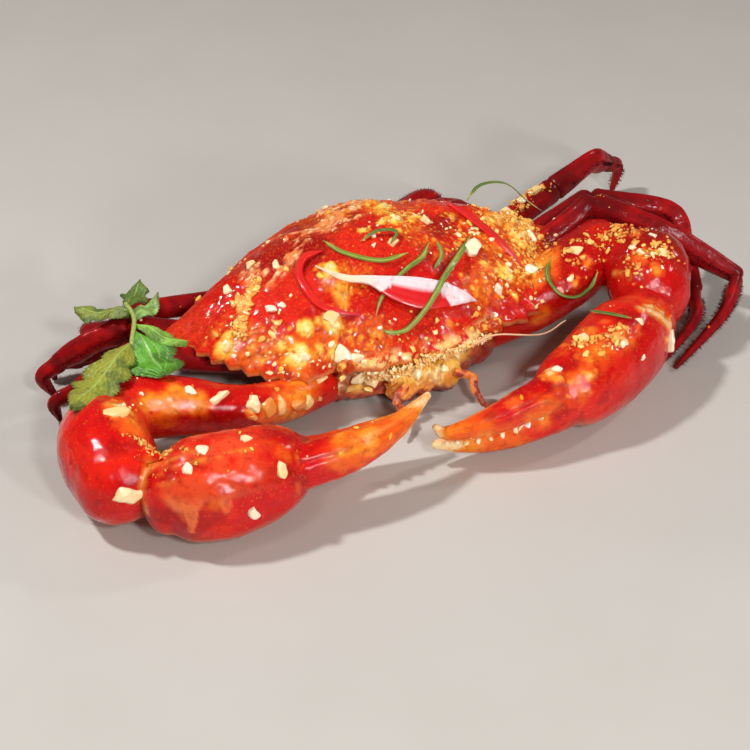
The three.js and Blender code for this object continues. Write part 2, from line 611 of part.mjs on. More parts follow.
const SHELL_RED = new THREE.MeshStandardMaterial({ color: 0xd3281a, roughness: 0.3, metalness: 0 });
const LEG_RED = new THREE.MeshStandardMaterial({ color: 0xb21f16, roughness: 0.35, metalness: 0 });
const FLESH = new THREE.MeshStandardMaterial({ color: 0xc98a4c, roughness: 0.55, metalness: 0 });
const CHILLI_RED = new THREE.MeshStandardMaterial({ color: 0xc8141a, roughness: 0.3, metalness: 0 });
const LEAF_GREEN = new THREE.MeshStandardMaterial({ color: 0x6f9a2c, roughness: 0.5, metalness: 0 });
const EYE_BLACK = new THREE.MeshStandardMaterial({ color: 0x1a1210, roughness: 0.15, metalness: 0 });

const crab = new THREE.Group();

function place(name, geometry, material) {
  const mesh = new THREE.Mesh(geometry, material);
  mesh.name = name;
  crab.add(mesh);
  return geometry;
}

const shell = place('carapace', joined(bareShell(), shellGarlic()), SHELL_RED);
const trunk = place('body', body(shell), FLESH);
const limbs = {};
for (const [side, sign] of [['left', -1], ['right', 1]]) {
  place(`eye_${side}`, eye(sign, [shell, trunk]), EYE_BLACK);
  const flap = place(`mouth_flap_${side}`, mouthFlap(sign, [shell, trunk]), FLESH);
  place(`mouth_palp_${side}`, palp(sign, [shell, trunk, flap]), FLESH);
  for (const [piece, geometry] of Object.entries(clawPieces(side, [shell, trunk]))) {
    const name = `claw_${side}_${piece}`;
    limbs[name] = place(name, geometry, SHELL_RED);
  }
}
for (const [name, joints] of Object.entries(LEGS)) {
  for (const [piece, geometry] of Object.entries(legPieces(name, joints, shell, trunk))) {
    limbs[`${name}_${piece}`] = place(`leg_${name}_${piece}`, geometry, LEG_RED);
  }
}
place('antenna', clearOf(limb(ANTENNA, { sides: 5, steps: 3 }), [shell, trunk]), FLESH);

const below = [shell];
for (const [name, path] of Object.entries(SHELL_SHREDS)) {
  below.push(place(name, shellShred(path, below), name.startsWith('chilli') ? CHILLI_RED : LEAF_GREEN));
}
const besideLimbs = [shell, ...Object.values(limbs)];
for (const [name, stations] of Object.entries(LOOSE_SHREDS)) {
  place(name, clearOf(limb(stations, { sides: 4, power: 4 }), besideLimbs), LEAF_GREEN);
}
place('coriander', coriander(besideLimbs), LEAF_GREEN);

export default crab;
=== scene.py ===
"""A cooked crab under a chilli sauce, dressed with garlic, spring onion, red chilli and coriander.

Points and sizes are millimetres in the frame of the CAD model, and turn into
metres when a mesh is made.
"""
import math

import bmesh
import bpy
import numpy as np
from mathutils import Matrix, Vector


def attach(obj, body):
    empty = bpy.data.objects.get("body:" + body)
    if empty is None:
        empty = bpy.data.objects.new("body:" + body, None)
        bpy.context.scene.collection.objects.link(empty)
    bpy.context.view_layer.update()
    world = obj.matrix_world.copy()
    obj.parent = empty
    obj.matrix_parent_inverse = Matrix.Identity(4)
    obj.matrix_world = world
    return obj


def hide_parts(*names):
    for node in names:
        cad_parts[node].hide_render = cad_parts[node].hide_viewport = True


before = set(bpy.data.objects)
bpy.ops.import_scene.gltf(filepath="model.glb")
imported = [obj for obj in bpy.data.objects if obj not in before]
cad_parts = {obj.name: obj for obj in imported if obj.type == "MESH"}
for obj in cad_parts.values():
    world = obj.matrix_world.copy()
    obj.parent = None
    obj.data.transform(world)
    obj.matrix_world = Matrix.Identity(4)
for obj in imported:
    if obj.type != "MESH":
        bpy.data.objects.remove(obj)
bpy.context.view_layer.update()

MM = 0.001
LOWEST = 0.05                  # of what would sink into the floor

# ---------------------------------------------------------------- dimensions

SHELL_CENTRE = np.array([0, -2])
SHELL_TOP = 49
SHELL_FLOOR = 12
SHELL_LIP = 3                  # thickness of the edge
DOME_POWER = 0.95

# The right half of the shell's edge, from the brow to the back: x, y, z.
SHELL_EDGE = [
    [0, -50, 21], [12, -50.5, 21], [22, -49.5, 21], [31, -44.5, 20.5], [40, -45.5, 20.5],
    [53, -39.5, 21], [64, -29, 22.5], [72, -16.5, 23.5], [76, -4, 24.5], [66, 8.5, 22],
    [52.5, 21, 18.5], [38.5, 34, 16.5], [22, 41.5, 16], [0, 43, 16],
]

# Teeth on the edge. Their places count the points of the edge, from the brow.
BROW_SPAN = 2
BROW_LOBE = 1.8
TEETH_FROM = 4
TEETH_TO = 8
TEETH = 9
TOOTH = 2.6
TOOTH_SHARPNESS = 1.3
SPIKE = 2.6
SPIKE_SPAN = 0.16
TEETH_ROOT = 0.88              # of the way out, where the teeth begin

# The turned-under rim: how far out, and its drop in thicknesses of the edge.
SHELL_RIM = [[1.004, 0.35], [1.004, 0.6], [0.995, 0.85], [0.97, 1], [0.9, 1.25], [0.8, 1.6]]
SHELL_UNDERSIDE = [0.7, 0.5, 0.3, 0.02]

# Swells and hollows on both halves of the shell: height, x, y, reach in x and in y.
SHELL_RELIEF = [
    [2.2, 0, -20, 18, 13], [1.5, 0, 20, 12, 10], [2.2, 38, 6, 18, 14],
    [1.2, 40, -27, 12, 9], [-2, 16, 4, 6, 12], [-1.4, 30, -12, 14, 5],
]
EDGE_STEPS = 480               # round half the shell
COARSE_EDGE_STEPS = 36         # for the height at single places
SHELL_ROWS = 120

# Lumps of garlic under the sauce: x, y, radius, height, how yellow.
SHELL_LUMPS = [
    [-65.4, -25, 7, 1.9, 0.95], [-44.2, -41, 7.5, 2.2, 1], [-29.2, -44, 5.5, 1.6, 1],
    [-28.9, -35.1, 5.5, 1.5, 0.95], [-38.3, -33.6, 4, 1.3, 0.8], [-33.3, -33.8, 2.6, 0.9, 0.5],
    [-60, -29.5, 3.4, 1, 0.15], [-56.2, -30.8, 4.5, 1.4, 0.25], [-55.4, -35, 3, 1, 0.6],
    [-47.5, -34.6, 3, 1.1, 0.55], [-49.1, -40.5, 3.5, 1.2, 0.3], [-54.4, -39.7, 3, 1, 0.45],
    [-60.1, -35.1, 3, 0.9, 0.3], [-66, -17.9, 2.4, 0.8, 0.55], [-70.2, -18.7, 2.4, 0.7, 0.5],
    [-22.6, -20.7, 5.5, 1.3, 0.8], [-22, -29, 7, 1.2, 0.4], [-36, -40.5, 3, 1, 0.6],
    [9.4, 1.8, 3.2, 1.3, 0.9], [8.3, -9, 4, 1.7, 1], [3, -8.1, 2.8, 1, 0.75],
    [-4.4, -10, 3, 1, 0.7], [27.2, -37, 3, 1, 0.3], [41.5, -33.1, 4.6, 1, 0.6],
    [33.3, -30.3, 2.4, 0.8, 0.6], [41.7, -40.2, 3.4, 1, 0.5], [11.9, -46.3, 3.6, 1, 0.3],
    [47.9, -9.1, 4, 1, 0.7], [-15.5, -43.3, 4.5, 1.4, 0.3],
]

# Sauce in lumps: size, height, and how yellow the ripest are.
SAUCE_LUMPS = [[6, 0.8, 0.35], [2.8, 0.35, 0.5], [1.6, 0.22, 0.5], [1, 0.12, 0.55]]

# Where garlic crusts the sauce: x, y, z, radius, strength.
CRUST_PATCHES = [
    [62, -8, 33, 9, 1], [56, -16, 34, 7, 0.7], [64, 0, 30, 8, 0.8], [8, 4, 47, 7, 0.8],
    [12, -6, 47, 6, 0.8], [2, -14, 48, 6, 0.6], [28, -4, 44, 7, 0.5], [30, -16, 43, 7, 0.5],
    [55, -28, 30, 8, 0.6], [40, -34, 31, 7, 0.4],
]

# Clean bright shell between the lumps: x, y, z, radius, strength.
CLEAN_PATCHES = [
    [0, -43, 31, 7, 1], [9, -43.5, 30, 7, 1], [-36, -20, 41, 9, 0.8], [-44, -18, 38, 8, 0.8],
    [-8, -20, 47, 9, 0.8], [4, -22, 46, 7, 0.6],
]

# Where the shell has dried: x, y, z, radius, strength.
DRY_PATCHES = [
    [-60, 4, 32, 15, 1], [-44, 18, 36, 16, 1], [-28, 26, 40, 15, 1], [-10, 32, 40, 15, 0.9],
    [10, 34, 38, 15, 0.8],
]

# Clots of sauce on the claws: x, y, z, radius, height, how yellow.
CLOTS = [
    [49.1, -80.7, 33.4, 3.8, 1.4, 0.5], [58.1, -86, 32.8, 3, 1.1, 0.65],
    [39, -81.3, 30.5, 2.5, 1.1, 0.5], [42.9, -88.1, 31.9, 4, 1.3, 0.42],
    [42.3, -91.2, 30.8, 3.2, 1.1, 0.6], [28, -91, 28.5, 3.4, 1.1, 0.85],
    [48.9, -87.9, 32.9, 2.5, 0.9, 0.5], [51.8, -90, 31.3, 2.5, 0.8, 0.45],
    [40.5, -95.8, 27.5, 3, 0.8, 0.8], [38.8, -98.2, 22.9, 2, 0.6, 0.6], [66, -84, 32, 2, 0.7, 0.5],
    [56, -79, 33.5, 2.6, 0.9, 0.4], [75.7, -75.9, 32.8, 2.6, 1, 1], [79.7, -77.9, 30.3, 3, 1.1, 1],
    [83.2, -78, 26.2, 2.4, 0.9, 0.9], [80, -82.6, 22.4, 2.2, 0.6, 0.8],
    [71.5, -77.6, 33.8, 1.8, 0.7, 0.8], [12, -95, 24, 4, 0.5, 0.4],
    [88.4, -59.6, 36.1, 3, 0.9, 0.7], [86.6, -51.9, 38.6, 4, 1, 0.5], [92, -40, 39, 3, 0.9, 0.5],
    [73, -38, 31, 3, 0.9, 0.6], [60, -36, 28, 3, 0.8, 0.4], [66, -42, 26, 2.4, 0.8, 0.7],
    [-62.5, -52.5, 15.2, 4, 0.9, 0.45], [-55, -52, 14, 4, 0.9, 0.6],
    [-67, -51.8, 17.7, 2.4, 0.9, 0.9], [-113, -54, 35, 5, 0.8, 1],
    [-95.5, -99.6, 20.5, 1.5, 0.6, 0.45], [-106.2, -96.2, 12.8, 1.7, 0.6, 0.5],
    [-84, -98, 12, 2, 0.4, 0.3],
]

# Large pieces of garlic on the shell: x, y, length.
BIG_GARLIC = [
    [-64.5, -24.5, 5], [-43, -40.6, 6], [-28.9, -44, 8], [-24.6, -46.4, 5.5], [-29, -35.2, 7],
    [31.5, -25, 8.5], [-46.4, -22.9, 3.8], [-38, -8.2, 4], [8.5, -8.8, 5], [9.2, 2, 4.4],
    [21, -9, 4.6], [36, -38, 5], [54, -30, 5], [62, -14, 6], [-22, -19.5, 4.6],
]

# Smaller ones, spread evenly: how far in x and y, and the least and the greatest length.
SMALL_GARLIC_COUNT = 6
SMALL_GARLIC_SPREAD = [64, 38]
SMALL_GARLIC = [2.6, 4.2]
EVEN_STEPS = [0.7548776662, 0.5698402910]

# Large pieces of garlic on the limbs: x, y, z, length.
LIMB_GARLIC = {
    "claw_left_arm": [[-77, -48, 23.5, 6], [-66, -51, 19.5, 6], [-86, -45, 27, 4]],
    "claw_left_wrist": [[-116, -56, 35, 7], [-126, -66, 30, 4], [-121.5, -81.5, 21.5, 8]],
    "claw_left_palm": [
        [-97, -86, 34.5, 5.5], [-104, -90, 32, 5], [-87, -101, 17, 6],
        [-83, -87, 35, 4.5], [-75, -97.5, 28, 5],
    ],
    "claw_right_arm": [[71, -33, 33.5, 4.5], [75, -38, 30.5, 4], [65, -40, 27.5, 4]],
    "claw_right_wrist": [[88, -51, 38, 5], [95, -54, 38, 5], [96, -45, 40, 4], [89, -59, 35, 4.5]],
    "claw_right_palm": [
        [83, -80, 20, 7], [30, -90, 27, 6], [46, -82, 33, 4.5], [58, -88, 31.5, 4.5],
        [68, -82, 33, 4],
    ],
    "leg_right_3_thigh": [[73, 23, 19, 5], [81, 25.5, 21, 4], [89, 27.5, 22.5, 5]],
}

BODY_HALF_WIDTH = 44
BODY_HALF_LENGTH = 35
BODY_HEIGHT = SHELL_FLOOR - 0.35
BODY_SIDES = 200
BODY_TOP = [0.02, 0.3, 0.6, 0.85, 0.94]
BELLY_RINGS = 60

# Rings of the body below its top: height and share of the outline.
BODY_LEVELS = [
    [10.6, 0.975], [9, 1], [7, 0.99], [5, 0.97], [3.5, 0.95], [2, 0.91], [0.8, 0.86], [0, 0.8],
]
BELLY_PLATE = 11               # from one groove of the belly to the next
FLAP_BAND = 7

# Stations of the face, the feelers and the limbs: x, y, z, half width, half height.
FACE = [[-27, -35, 9, 9.5, 8.4], [0, -38, 9, 11, 8.4], [27, -35, 9, 9.5, 8.4]]
EYE = {"x": 28, "y": -47, "z": 22, "stalk": 2.2, "ball": 3.3}
MOUTH = {"x": 7.8, "y": -50.6, "low": 4.4, "high": 12.6, "half_width": 7.2, "half_depth": 4.4}
PALP = [
    [10, -56.8, 13, 2, 2.2], [15, -59, 11, 2, 2.2], [14.5, -62.5, 8, 1.8, 2],
    [15.5, -67, 4.5, 1.5, 1.6], [18, -70, 3.4, 0.9, 1],
]
ANTENNA = [
    [20, -51, 18.5, 1.2, 1.2], [27, -54, 22.5, 0.7, 0.7], [42, -60, 22, 0.6, 0.6],
    [53, -58, 23.5, 0.5, 0.5],
]

# The pointed inner corner of the left wrist.
WRIST_SPINE = [[-119, -66, 27.5, 9, 7], [-114, -73, 30, 5, 4], [-109.5, -80, 31.5, 0.8, 0.8]]

MOUTH_FOLD = [[0, -47.5, 5, 4, 3.5], [-0.5, -51.5, 8.5, 5.5, 4], [0.5, -51.5, 13.5, 5, 4]]
PALP_SLIM = 0.7
PALP_JOINTS = 5
ANTENNA_SLIM = 0.48

TEETH_IN_FINGER = 9
TEETH_TURN = [0, -0.9, 0]      # to the front

CLAWS = {
    "left": {
        "arm": [
            [-34, -38, 9, 7, 7], [-52, -45, 12.5, 7, 7.5], [-71, -45, 15, 8, 8.5],
            [-88, -40, 18.5, 9.5, 10.5], [-103, -37, 21, 10, 11],
        ],
        "wrist": [
            [-109, -40, 20.5, 11, 11], [-119, -51, 20, 16, 16.5], [-120.5, -69, 18.5, 15, 15.5],
        ],
        "palm": [
            [-109, -81.5, 17, 11.5, 13], [-101, -83.5, 17.4, 15, 17.2],
            [-88, -86, 17.9, 15.5, 17.4], [-73, -86, 18.7, 13.2, 15.2], [-59, -81, 14.5, 7.5, 8],
            [-45, -79, 13.5, 5.5, 6.5], [-31, -79, 15.5, 4, 5], [-17, -78, 19, 1.5, 2],
        ],
        "finger": [
            [-66, -91.5, 21.5, 7, 8], [-48, -92.5, 22.8, 6.3, 6.9], [-31, -90, 25, 4, 4.3],
            [-15, -83, 28.5, 1.1, 1.3],
        ],
    },
    "right": {
        "arm": [
            [34, -33, 10, 7.5, 8], [52, -33, 15.5, 10.5, 10], [70, -30, 22, 12.5, 11.5],
            [86, -26, 27, 11, 11],
        ],
        "wrist": [[90, -33, 26, 12, 12], [95, -44, 24.5, 15.5, 16.5], [91, -55, 23, 14, 15]],
        "palm": [
            [82, -67, 21, 11, 12.5], [69.5, -73, 18, 15, 17.5], [51, -82.5, 17.2, 14.5, 16.8],
            [36, -88, 16.3, 12, 13.7], [25, -90, 11, 7, 8], [12, -90, 8.5, 5, 6],
            [-1, -88, 8, 3.6, 4.6], [-13, -86, 9, 1.4, 1.8],
        ],
        "finger": [
            [30, -91, 22, 6.8, 7.2], [17.5, -92.5, 20.5, 6, 6.2], [6, -92.5, 18, 4.8, 5],
            [-4, -91, 16, 3.2, 3.5], [-11, -88.5, 15, 2, 2.3], [-14, -87, 17.5, 1, 1.2],
        ],
    },
}

# Hip, knee, wrist, ankle and tip of each leg.
LEGS = {
    "left_1": [[-42, -16, 7], [-94, -11, 24], [-105, -12, 20], [-114, -7, 12], [-122, -7, 1.4]],
    "left_2": [[-43, -2, 7], [-92, 2, 26], [-104, 3, 23], [-117, 6, 16], [-119, 6, 1.4]],
    "left_3": [[-42, 12, 7], [-84, 13, 12], [-96, 14, 12], [-106, 16, 8], [-116, 17, 1.4]],
    "left_4": [[-34, 28, 7], [-78, 22, 17], [-86, 27, 13], [-90, 30, 8], [-98, 30, 3]],
    "right_1": [[42, -12, 7], [91, -10, 36], [110.5, -31, 30], [133, -51, 15.5], [92, -74, 1.4]],
    "right_2": [[43, 2, 7], [98, 3, 29], [125, -14, 25], [117.5, -46, 10], [91, -68, 1.4]],
    "right_3": [[42, 15, 7], [98, 30, 19], [117, 34, 25], [129, 40, 19], [135, 44, 1.4]],
    "right_4": [[34, 28, 7], [56, 44, 11], [66, 50, 9], [62, 60, 6], [48, 68, 3]],
}

# Half width and half height at the places along a leg, and along a paddle.
LEG_HALF = {
    "thigh": [4.4, 5.6], "knee": [4.6, 5.2], "blade": [3, 5], "ankle": [2.6, 3.6], "tip": [0.9, 1],
}
PADDLE_HALF = {
    "thigh": [4.6, 4.6], "knee": [4.4, 4], "blade": [5.5, 2.8], "ankle": [4.5, 2], "tip": [5, 1.2],
}
TIP_BOW = 5
LEG_SIDES = 48
BRISTLE_SIDES = [0, 1, 23, 24]     # of the sides of a leg
BRISTLES_IN_RING = 2
BRISTLE_WIDTH = 0.3
BRISTLE_LENGTH = [0.6, 1.6]

# Shreds on the shell: x, y, height above it, half width, half thickness.
SHELL_SHREDS = {
    "chilli_1": [
        [33, 1, 1.8, 0.6, 0.7], [38.5, -9, 2.2, 1.6, 0.8], [44, -20, 2.2, 2, 0.8],
        [50.5, -31, 1.9, 0.6, 0.7],
    ],
    "chilli_2": [
        [-21.5, -11.5, 1.3, 0.9, 0.9], [-28, -11, 1.6, 1.3, 1.1], [-32.5, -16, 1.7, 1.4, 1.2],
        [-33.5, -24, 1.7, 1.4, 1.2], [-30, -32, 1.6, 1.3, 1.1], [-19, -37.5, 1.3, 0.8, 0.8],
    ],
    "chilli_3": [
        [-27, -18, 2.3, 1, 0.8], [-20, -26.5, 3.1, 1.3, 0.9], [-12, -31.2, 3.6, 1.8, 1],
        [-4, -35.2, 3.4, 4.6, 1.1], [5, -38.2, 3, 5.8, 1.1], [14, -39.8, 2.4, 4.6, 1],
        [21, -40, 1.9, 2.6, 0.9], [26.5, -40, 1.5, 1, 0.9],
    ],
    "scallion_1": [
        [-19, -7, 1.1, 1.2, 0.6], [-15.5, -17, 1.3, 1.5, 0.6], [-5, -25, 1.4, 1.5, 0.6],
        [6, -25, 1.6, 1.2, 0.6],
    ],
    "scallion_2": [
        [-8, -15, 1.1, 0.9, 0.6], [-1, -14.5, 2.4, 1.1, 0.6], [5, -17.5, 3, 1.1, 0.6],
        [1, -21, 2, 0.9, 0.6],
    ],
    "scallion_3": [
        [16, -21.5, 1.2, 1.3, 0.6], [10.5, -27, 1.4, 1.6, 0.6], [3, -29.5, 1.2, 1.4, 0.6],
        [-4, -32.5, 1.2, 1.3, 0.6], [-9.5, -35.5, 1.2, 1.1, 0.6], [-13.5, -39.4, 1.2, 0.8, 0.6],
    ],
    "scallion_4": [[19.5, -21, 1.1, 1, 0.6], [19, -26, 1.5, 1.3, 0.6], [13.5, -31, 1.2, 1, 0.6]],
    "scallion_5": [
        [36, -17.5, 1.2, 1, 0.6], [26, -27.6, 3, 1.8, 0.7], [15.4, -36, 4.9, 1.8, 0.7],
        [6, -42.5, 4.9, 1.6, 0.6], [-4, -45.5, 2.4, 1.5, 0.6], [-11, -44.8, 1.5, 1.2, 0.6],
        [-16, -41.5, 1.2, 0.8, 0.6],
    ],
}

# Shreds beside it: x, y, z, half width, half thickness.
LOOSE_SHREDS = {
    "scallion_6": [
        [46, 6, 40.7, 1, 0.6], [54, 11.5, 42, 1.3, 0.6], [63.5, 14, 40, 1.5, 0.6],
        [70, 14.5, 36, 1.5, 0.6], [74.5, 10.5, 31, 1.3, 0.6], [78.5, 5, 28, 1, 0.6],
    ],
    "scallion_7": [
        [62, -30.5, 31.5, 1.3, 0.6], [57, -37, 29.5, 1.4, 0.6], [58, -44, 25.5, 0.9, 0.6],
        [64, -46.5, 23.5, 0.9, 0.6], [71, -45, 25, 1.2, 0.6], [75.5, -42, 28.5, 1.5, 0.6],
    ],
    "scallion_8": [
        [55, -70.5, 34.8, 0.9, 0.6], [59, -76.5, 36.2, 1.2, 0.6], [65, -82, 35.8, 0.8, 0.6],
    ],
}

BROAD_CHILLI = "chilli_3"
CHILLI_SLIM = [1, 0.9]             # of the width and of the thickness
SCALLION_SLIM = [0.6, 0.4]

# Coriander leaflets: base, tip, half width, lobes, how fan-shaped, and the colour they lean to.
LEAFLETS = [
    [[-97, -19, 34], [-128, -49, 37], 7.5, 4, 0.1, "A29A2C"],
    [[-93, -13, 34], [-93, -38, 33], 8.5, 3, 1, "5FA82A"],
    [[-91.8, -9, 34], [-78, -21, 29.5], 3.4, 2, 0.3, "8CBC3A"],
    [[-91, -5, 34], [-78, 6, 33.5], 3.4, 2, 0, "A8D070"],
    [[-90.6, 0, 33.8], [-107, 11, 32.5], 4.2, 3, 0.2, "86862C"],
    [[-90.3, 4, 33.5], [-80, 20, 31], 4.2, 3, 0.5, "5C6A1E"],
]
LEAF_ROWS = 140
LEAF_COLUMNS = 61
LEAF_TEETH = 7                     # on each lobe
CORIANDER_STEM = [[-90, 6, 33.2, 0.8, 0.8], [-91, -5, 34, 0.8, 0.8], [-97, -19, 34, 0.8, 0.8]]
LEAF_THICKNESS = 0.7
LEAF_WAVE = 1.1
LEAF_DROOP = 1.6

# Where the sauce is thick and orange: x, y, z, radius, strength.
ORANGE_PATCHES = [
    [-60, -33, 27, 17, 0.55], [-40, -40, 28, 13, 0.5], [-18, -45, 26, 12, 0.6],
    [15, -18, 45, 14, 0.5], [42, -30, 33, 13, 0.8], [50, -12, 38, 12, 0.8], [58, -27, 28, 11, 0.9],
    [20, 10, 46, 16, 0.5], [-10, 12, 46, 16, 0.55], [-35, 8, 42, 12, 0.35], [30, -38, 30, 9, 0.5],
    [-22, -24, 43, 8, 0.8], [-12, -27, 44, 7, 0.7], [5, -46, 26, 10, 0.5], [60, -5, 34, 9, 0.6],
    [-100, -45, 27, 7, 0.9], [-91, -46.5, 26, 7, 0.85], [-83, -49, 23, 5, 0.7],
    [-114, -55, 35, 6, 0.9], [-56, -52.5, 14, 7, 0.9], [-45, -50, 12, 8, 0.8],
    [-106, -94, 22, 6, 0.6], [-98, -99, 23, 4, 0.7], [-114, -64, 34, 6, 0.7],
    [-75, -92, 33, 8, 0.5], [-52, -96, 28, 10, 0.8], [-38, -92, 28, 11, 0.8],
    [-18, -85, 28, 9, 0.9], [-112, -79, 29, 3, 0.9], [34, -96, 24, 9, 0.7], [20, -97, 20, 8, 0.6],
    [46, -90, 31, 9, 0.6], [60, -86, 32, 8, 0.5], [78, -76, 30, 8, 0.6], [52, -43, 17, 5, 0.8],
    [10, -92, 12, 12, 0.6], [-5, -90, 12, 9, 0.8], [88, -62, 30, 5, 0.5],
]

# Where the sauce is dark: x, y, z, radius, strength.
DARK_PATCHES = [
    [-25, -8, 45, 9, 0.7], [-30, -12, 43, 7, 0.6], [25, -14, 44, 7, 0.7], [30, -8, 43, 6, 0.5],
    [-42, -2, 42, 9, 0.5], [-100, -85, 20, 14, 0.15], [-135, -55, 18, 12, 0.5],
]

# Sauce covers the front of the left palm down to FILM_EDGE, with drips: x, half width, lowest z.
FILM_EDGE = 24
DRIPS = [[-108, 6, 19.5], [-106.2, 2.6, 13], [-95.5, 2.4, 19]]

# The long ridge on top of the left palm: x, y, z.
PALM_RIDGE = [
    [-111.5, -84.5, 28.6], [-107, -87, 31.7], [-99.6, -89.8, 33.6], [-89.9, -91.2, 34.2],
    [-78, -91.7, 33.3],
]

# Ridges on the claws: width, height, gold tint, then x, y, z of the points.
RIDGES = [
    [0.9, 0.55, 0.7, *PALM_RIDGE],
    [0.8, 0.45, 0.5, [-110, -82, 30], [-105.5, -84.5, 33.1], [-98, -86, 35]],
    [0.8, 0.4, 0.4, [-112, -88, 27], [-105, -92, 30.4], [-97, -94, 31.6]],
    [0.7, -0.5, 0, [34.7, -96.2, 25.8], [34.3, -97.2, 23.5], [33.8, -98.2, 21.1]],
    [0.9, 0.35, 0.3, [66, -86, 31], [56, -91, 29.5], [45, -95, 27], [36, -96.5, 24]],
]

# Pale skin in the joints: width, strength, then x, y, z of the points.
JOINT_SKIN = [
    [0.8, 0.8, [-69, -91, 31.1], [-69, -95, 28.5], [-69.2, -96.7, 24.9], [-69.9, -98.1, 21.2],
     [-70.4, -98.2, 16.4]],
    [1.8, 1, [71.5, -77.1, 34.3], [77.1, -78.6, 31], [82.8, -79, 25.3], [85.3, -81, 20.7]],
    [1.8, 0.9, [-110, -80, 31], [-113.8, -80, 27.2], [-116, -81.5, 25], [-117.2, -82.6, 21],
     [-117.3, -85, 17]],
    [1.4, 0.6, [80, -46, 29], [81, -55, 33]],
]

# Where the claws are darker: x, y, z, radius, strength.
# Most are painted shade low down by the floor and the shell; the right wrist's top is a darker
# tone.
SHADE_AND_DARK_PATCHES = [
    [58, -30, 22, 16, 0.75], [72, -26, 28, 12, 0.6], [88, -36, 14, 12, 0.6], [80, -66, 12, 12, 0.6],
    [98, -42, 38, 16, 0.85], [104, -48, 26, 14, 0.6], [60, -86, 14, 12, 0.4],
    [-72, -50, 12, 10, 0.6], [-132, -52, 14, 10, 0.5], [-56, -46, 8, 12, 0.6],
    [-80, -42, 12, 10, 0.5],
]

# Where the sauce is smeared in strokes: x, y, z, radius, strength. And which way they run.
SMEAR_PATCHES = [
    [-44, -8, 41, 8, 0.7], [-32, -1, 45, 9, 0.9], [-20, 3, 46, 9, 1], [-8, 4, 48, 9, 0.9],
    [4, 14, 45, 9, 0.7], [-20, 16, 42, 9, 0.6], [22, 10, 44, 9, 0.5],
]
SMEAR_TURN = math.radians(22)

# Golden crumbs lie along these paths: width, density, then x, y, z of the points.
CRUMB_PATHS = [
    [1.3, 34, [-46.1, -8.8, 39.7], [-49.1, -12.1, 37.5], [-51.9, -15, 35.3], [-54.8, -18.1, 33]],
    [2, 36, [-53, -14, 35], [-55.5, -19, 32.3], [-58, -23, 29.5]],
    [1, 12, [-56.7, -12.5, 33.9], [-52, -14, 35.5]],
    [1.2, 22, [-46.6, -27.5, 32.9], [-48.5, -30, 30.5], [-49.9, -32.2, 28.4]],
    [1, 6, *PALM_RIDGE],
    [2.6, 14, [-113, -71, 34], [-111, -77, 32.5], [-106, -80, 31], [-101, -82, 33]],
    [2, 8, [-112, -84, 28.5], [-107, -87, 31.5], [-100, -90, 33.5]],
    [5, 1.2, [-62, -16, 30.5], [-59.6, -20.9, 29.7], [-52.3, -26.3, 30.9]],
    [5.5, 8, [47, -9, 39.5], [54, -16, 34], [60, -10, 34], [66, -4, 31]],
    [3.5, 2.4, [44, -36, 28], [54, -31, 28], [62, -24, 29], [68, -14, 29]],
    [4, 7, [70, -27, 34], [73, -33, 34], [78, -33.6, 35], [72, -38, 30]],
    [4.5, 5.5, [90, -34, 38], [91.7, -43.5, 39.7], [95, -54, 38], [84, -54, 35]],
    [4, 9, [44, -83, 33], [52, -86, 33], [60, -85, 33.5], [47, -90, 31.5]],
    [3, 5, [69, 22, 18], [78, 25, 20], [90, 28, 23]],
    [3, 5, [94, -14, 37], [97, -20, 34], [101, -25, 32]],
    [4, 1, [-8, -47, 25], [5, -48, 24], [20, -44, 26]],
    [6, 0.8, [10, 0, 47], [22, -18, 44], [36, -26, 37]],
]

# Garlic bits lie along these paths: width, density, then x, y, z of the points.
GARLIC_PATHS = [
    [2.6, 3, [-52, -42, 22], [-40, -44, 23], [-30, -46, 23], [-20, -48, 23]],
    [3, 0.6, [-64, -30, 24], [-52, -36, 25], [-38, -38, 29], [-26, -41, 28]],
    [4, 1, [44, -32, 32], [36, -38, 30], [48, -20, 34], [30, -14, 43]],
    [4, 1, [-8, -12, 48], [10, -8, 49], [20, -4, 47]],
    [3, 1.5, [82, -42, 36], [93, -52, 39], [88, -60, 34]],
    [3, 1, [-112, -52, 34], [-98, -47, 28]],
]

# Amber chunks on the left arm: x, y, z, length.
ARM_CHUNKS = [
    [-61, -51.8, 17, 8], [-55.5, -51.6, 16, 6.5], [-49.5, -51, 14.5, 6], [-45, -49.5, 12.5, 5],
    [-52, -51.8, 11.5, 4.5], [-40, -47, 11.5, 4], [-66.5, -52.6, 15.5, 4],
]

# Garlic caught in the face and mouth: x, y, z, length.
FRONT_GARLIC = [
    [-19, -48.5, 14, 7], [-14.5, -50, 15.5, 6], [-24, -47.5, 15, 5], [-30, -46.5, 16.5, 4.5],
    [-37, -44.5, 17, 4], [-20.5, -48, 9.5, 4], [-27, -46, 10.5, 3.5], [-33, -44, 12, 3],
    [-4, -54, 16, 5], [6, -55, 15, 3.5],
]

# Set bubbles of sauce lie along the brow: x, y, z, spread.
FOAM_PATH = [
    [-22, -48.5, 17, 0.8], [-13, -51.5, 16.5, 1.6], [-7, -52.5, 17, 1.7], [2, -52.4, 19, 0.7],
    [14, -52.4, 19.6, 0.6], [27, -50.4, 19.6, 0.5],
]

# How many of each topping there are.
BITS_COUNT = 120               # anywhere, and as many again along the front
CRUMB_COUNT = 2450
FLAKE_COUNT = 340
LUMP_COUNT = 60
GRAIN_COUNT = 400
FOAM_COUNT = 900
NEAR_TRIANGLES = 60            # that settle which way a piece of garlic faces
FLAKES_ON = [
    "carapace", "claw_right_arm", "claw_right_wrist", "claw_right_palm", "leg_right_3_thigh",
]

# ------------------------------------------------------------------- colours


def rgb(code):
    """Linear colour of an sRGB hex code."""
    parts = np.array([int(code[k:k + 2], 16) for k in (0, 2, 4)]) / 255
    return np.where(parts <= 0.04045, parts / 12.92, ((parts + 0.055) / 1.055) ** 2.4)


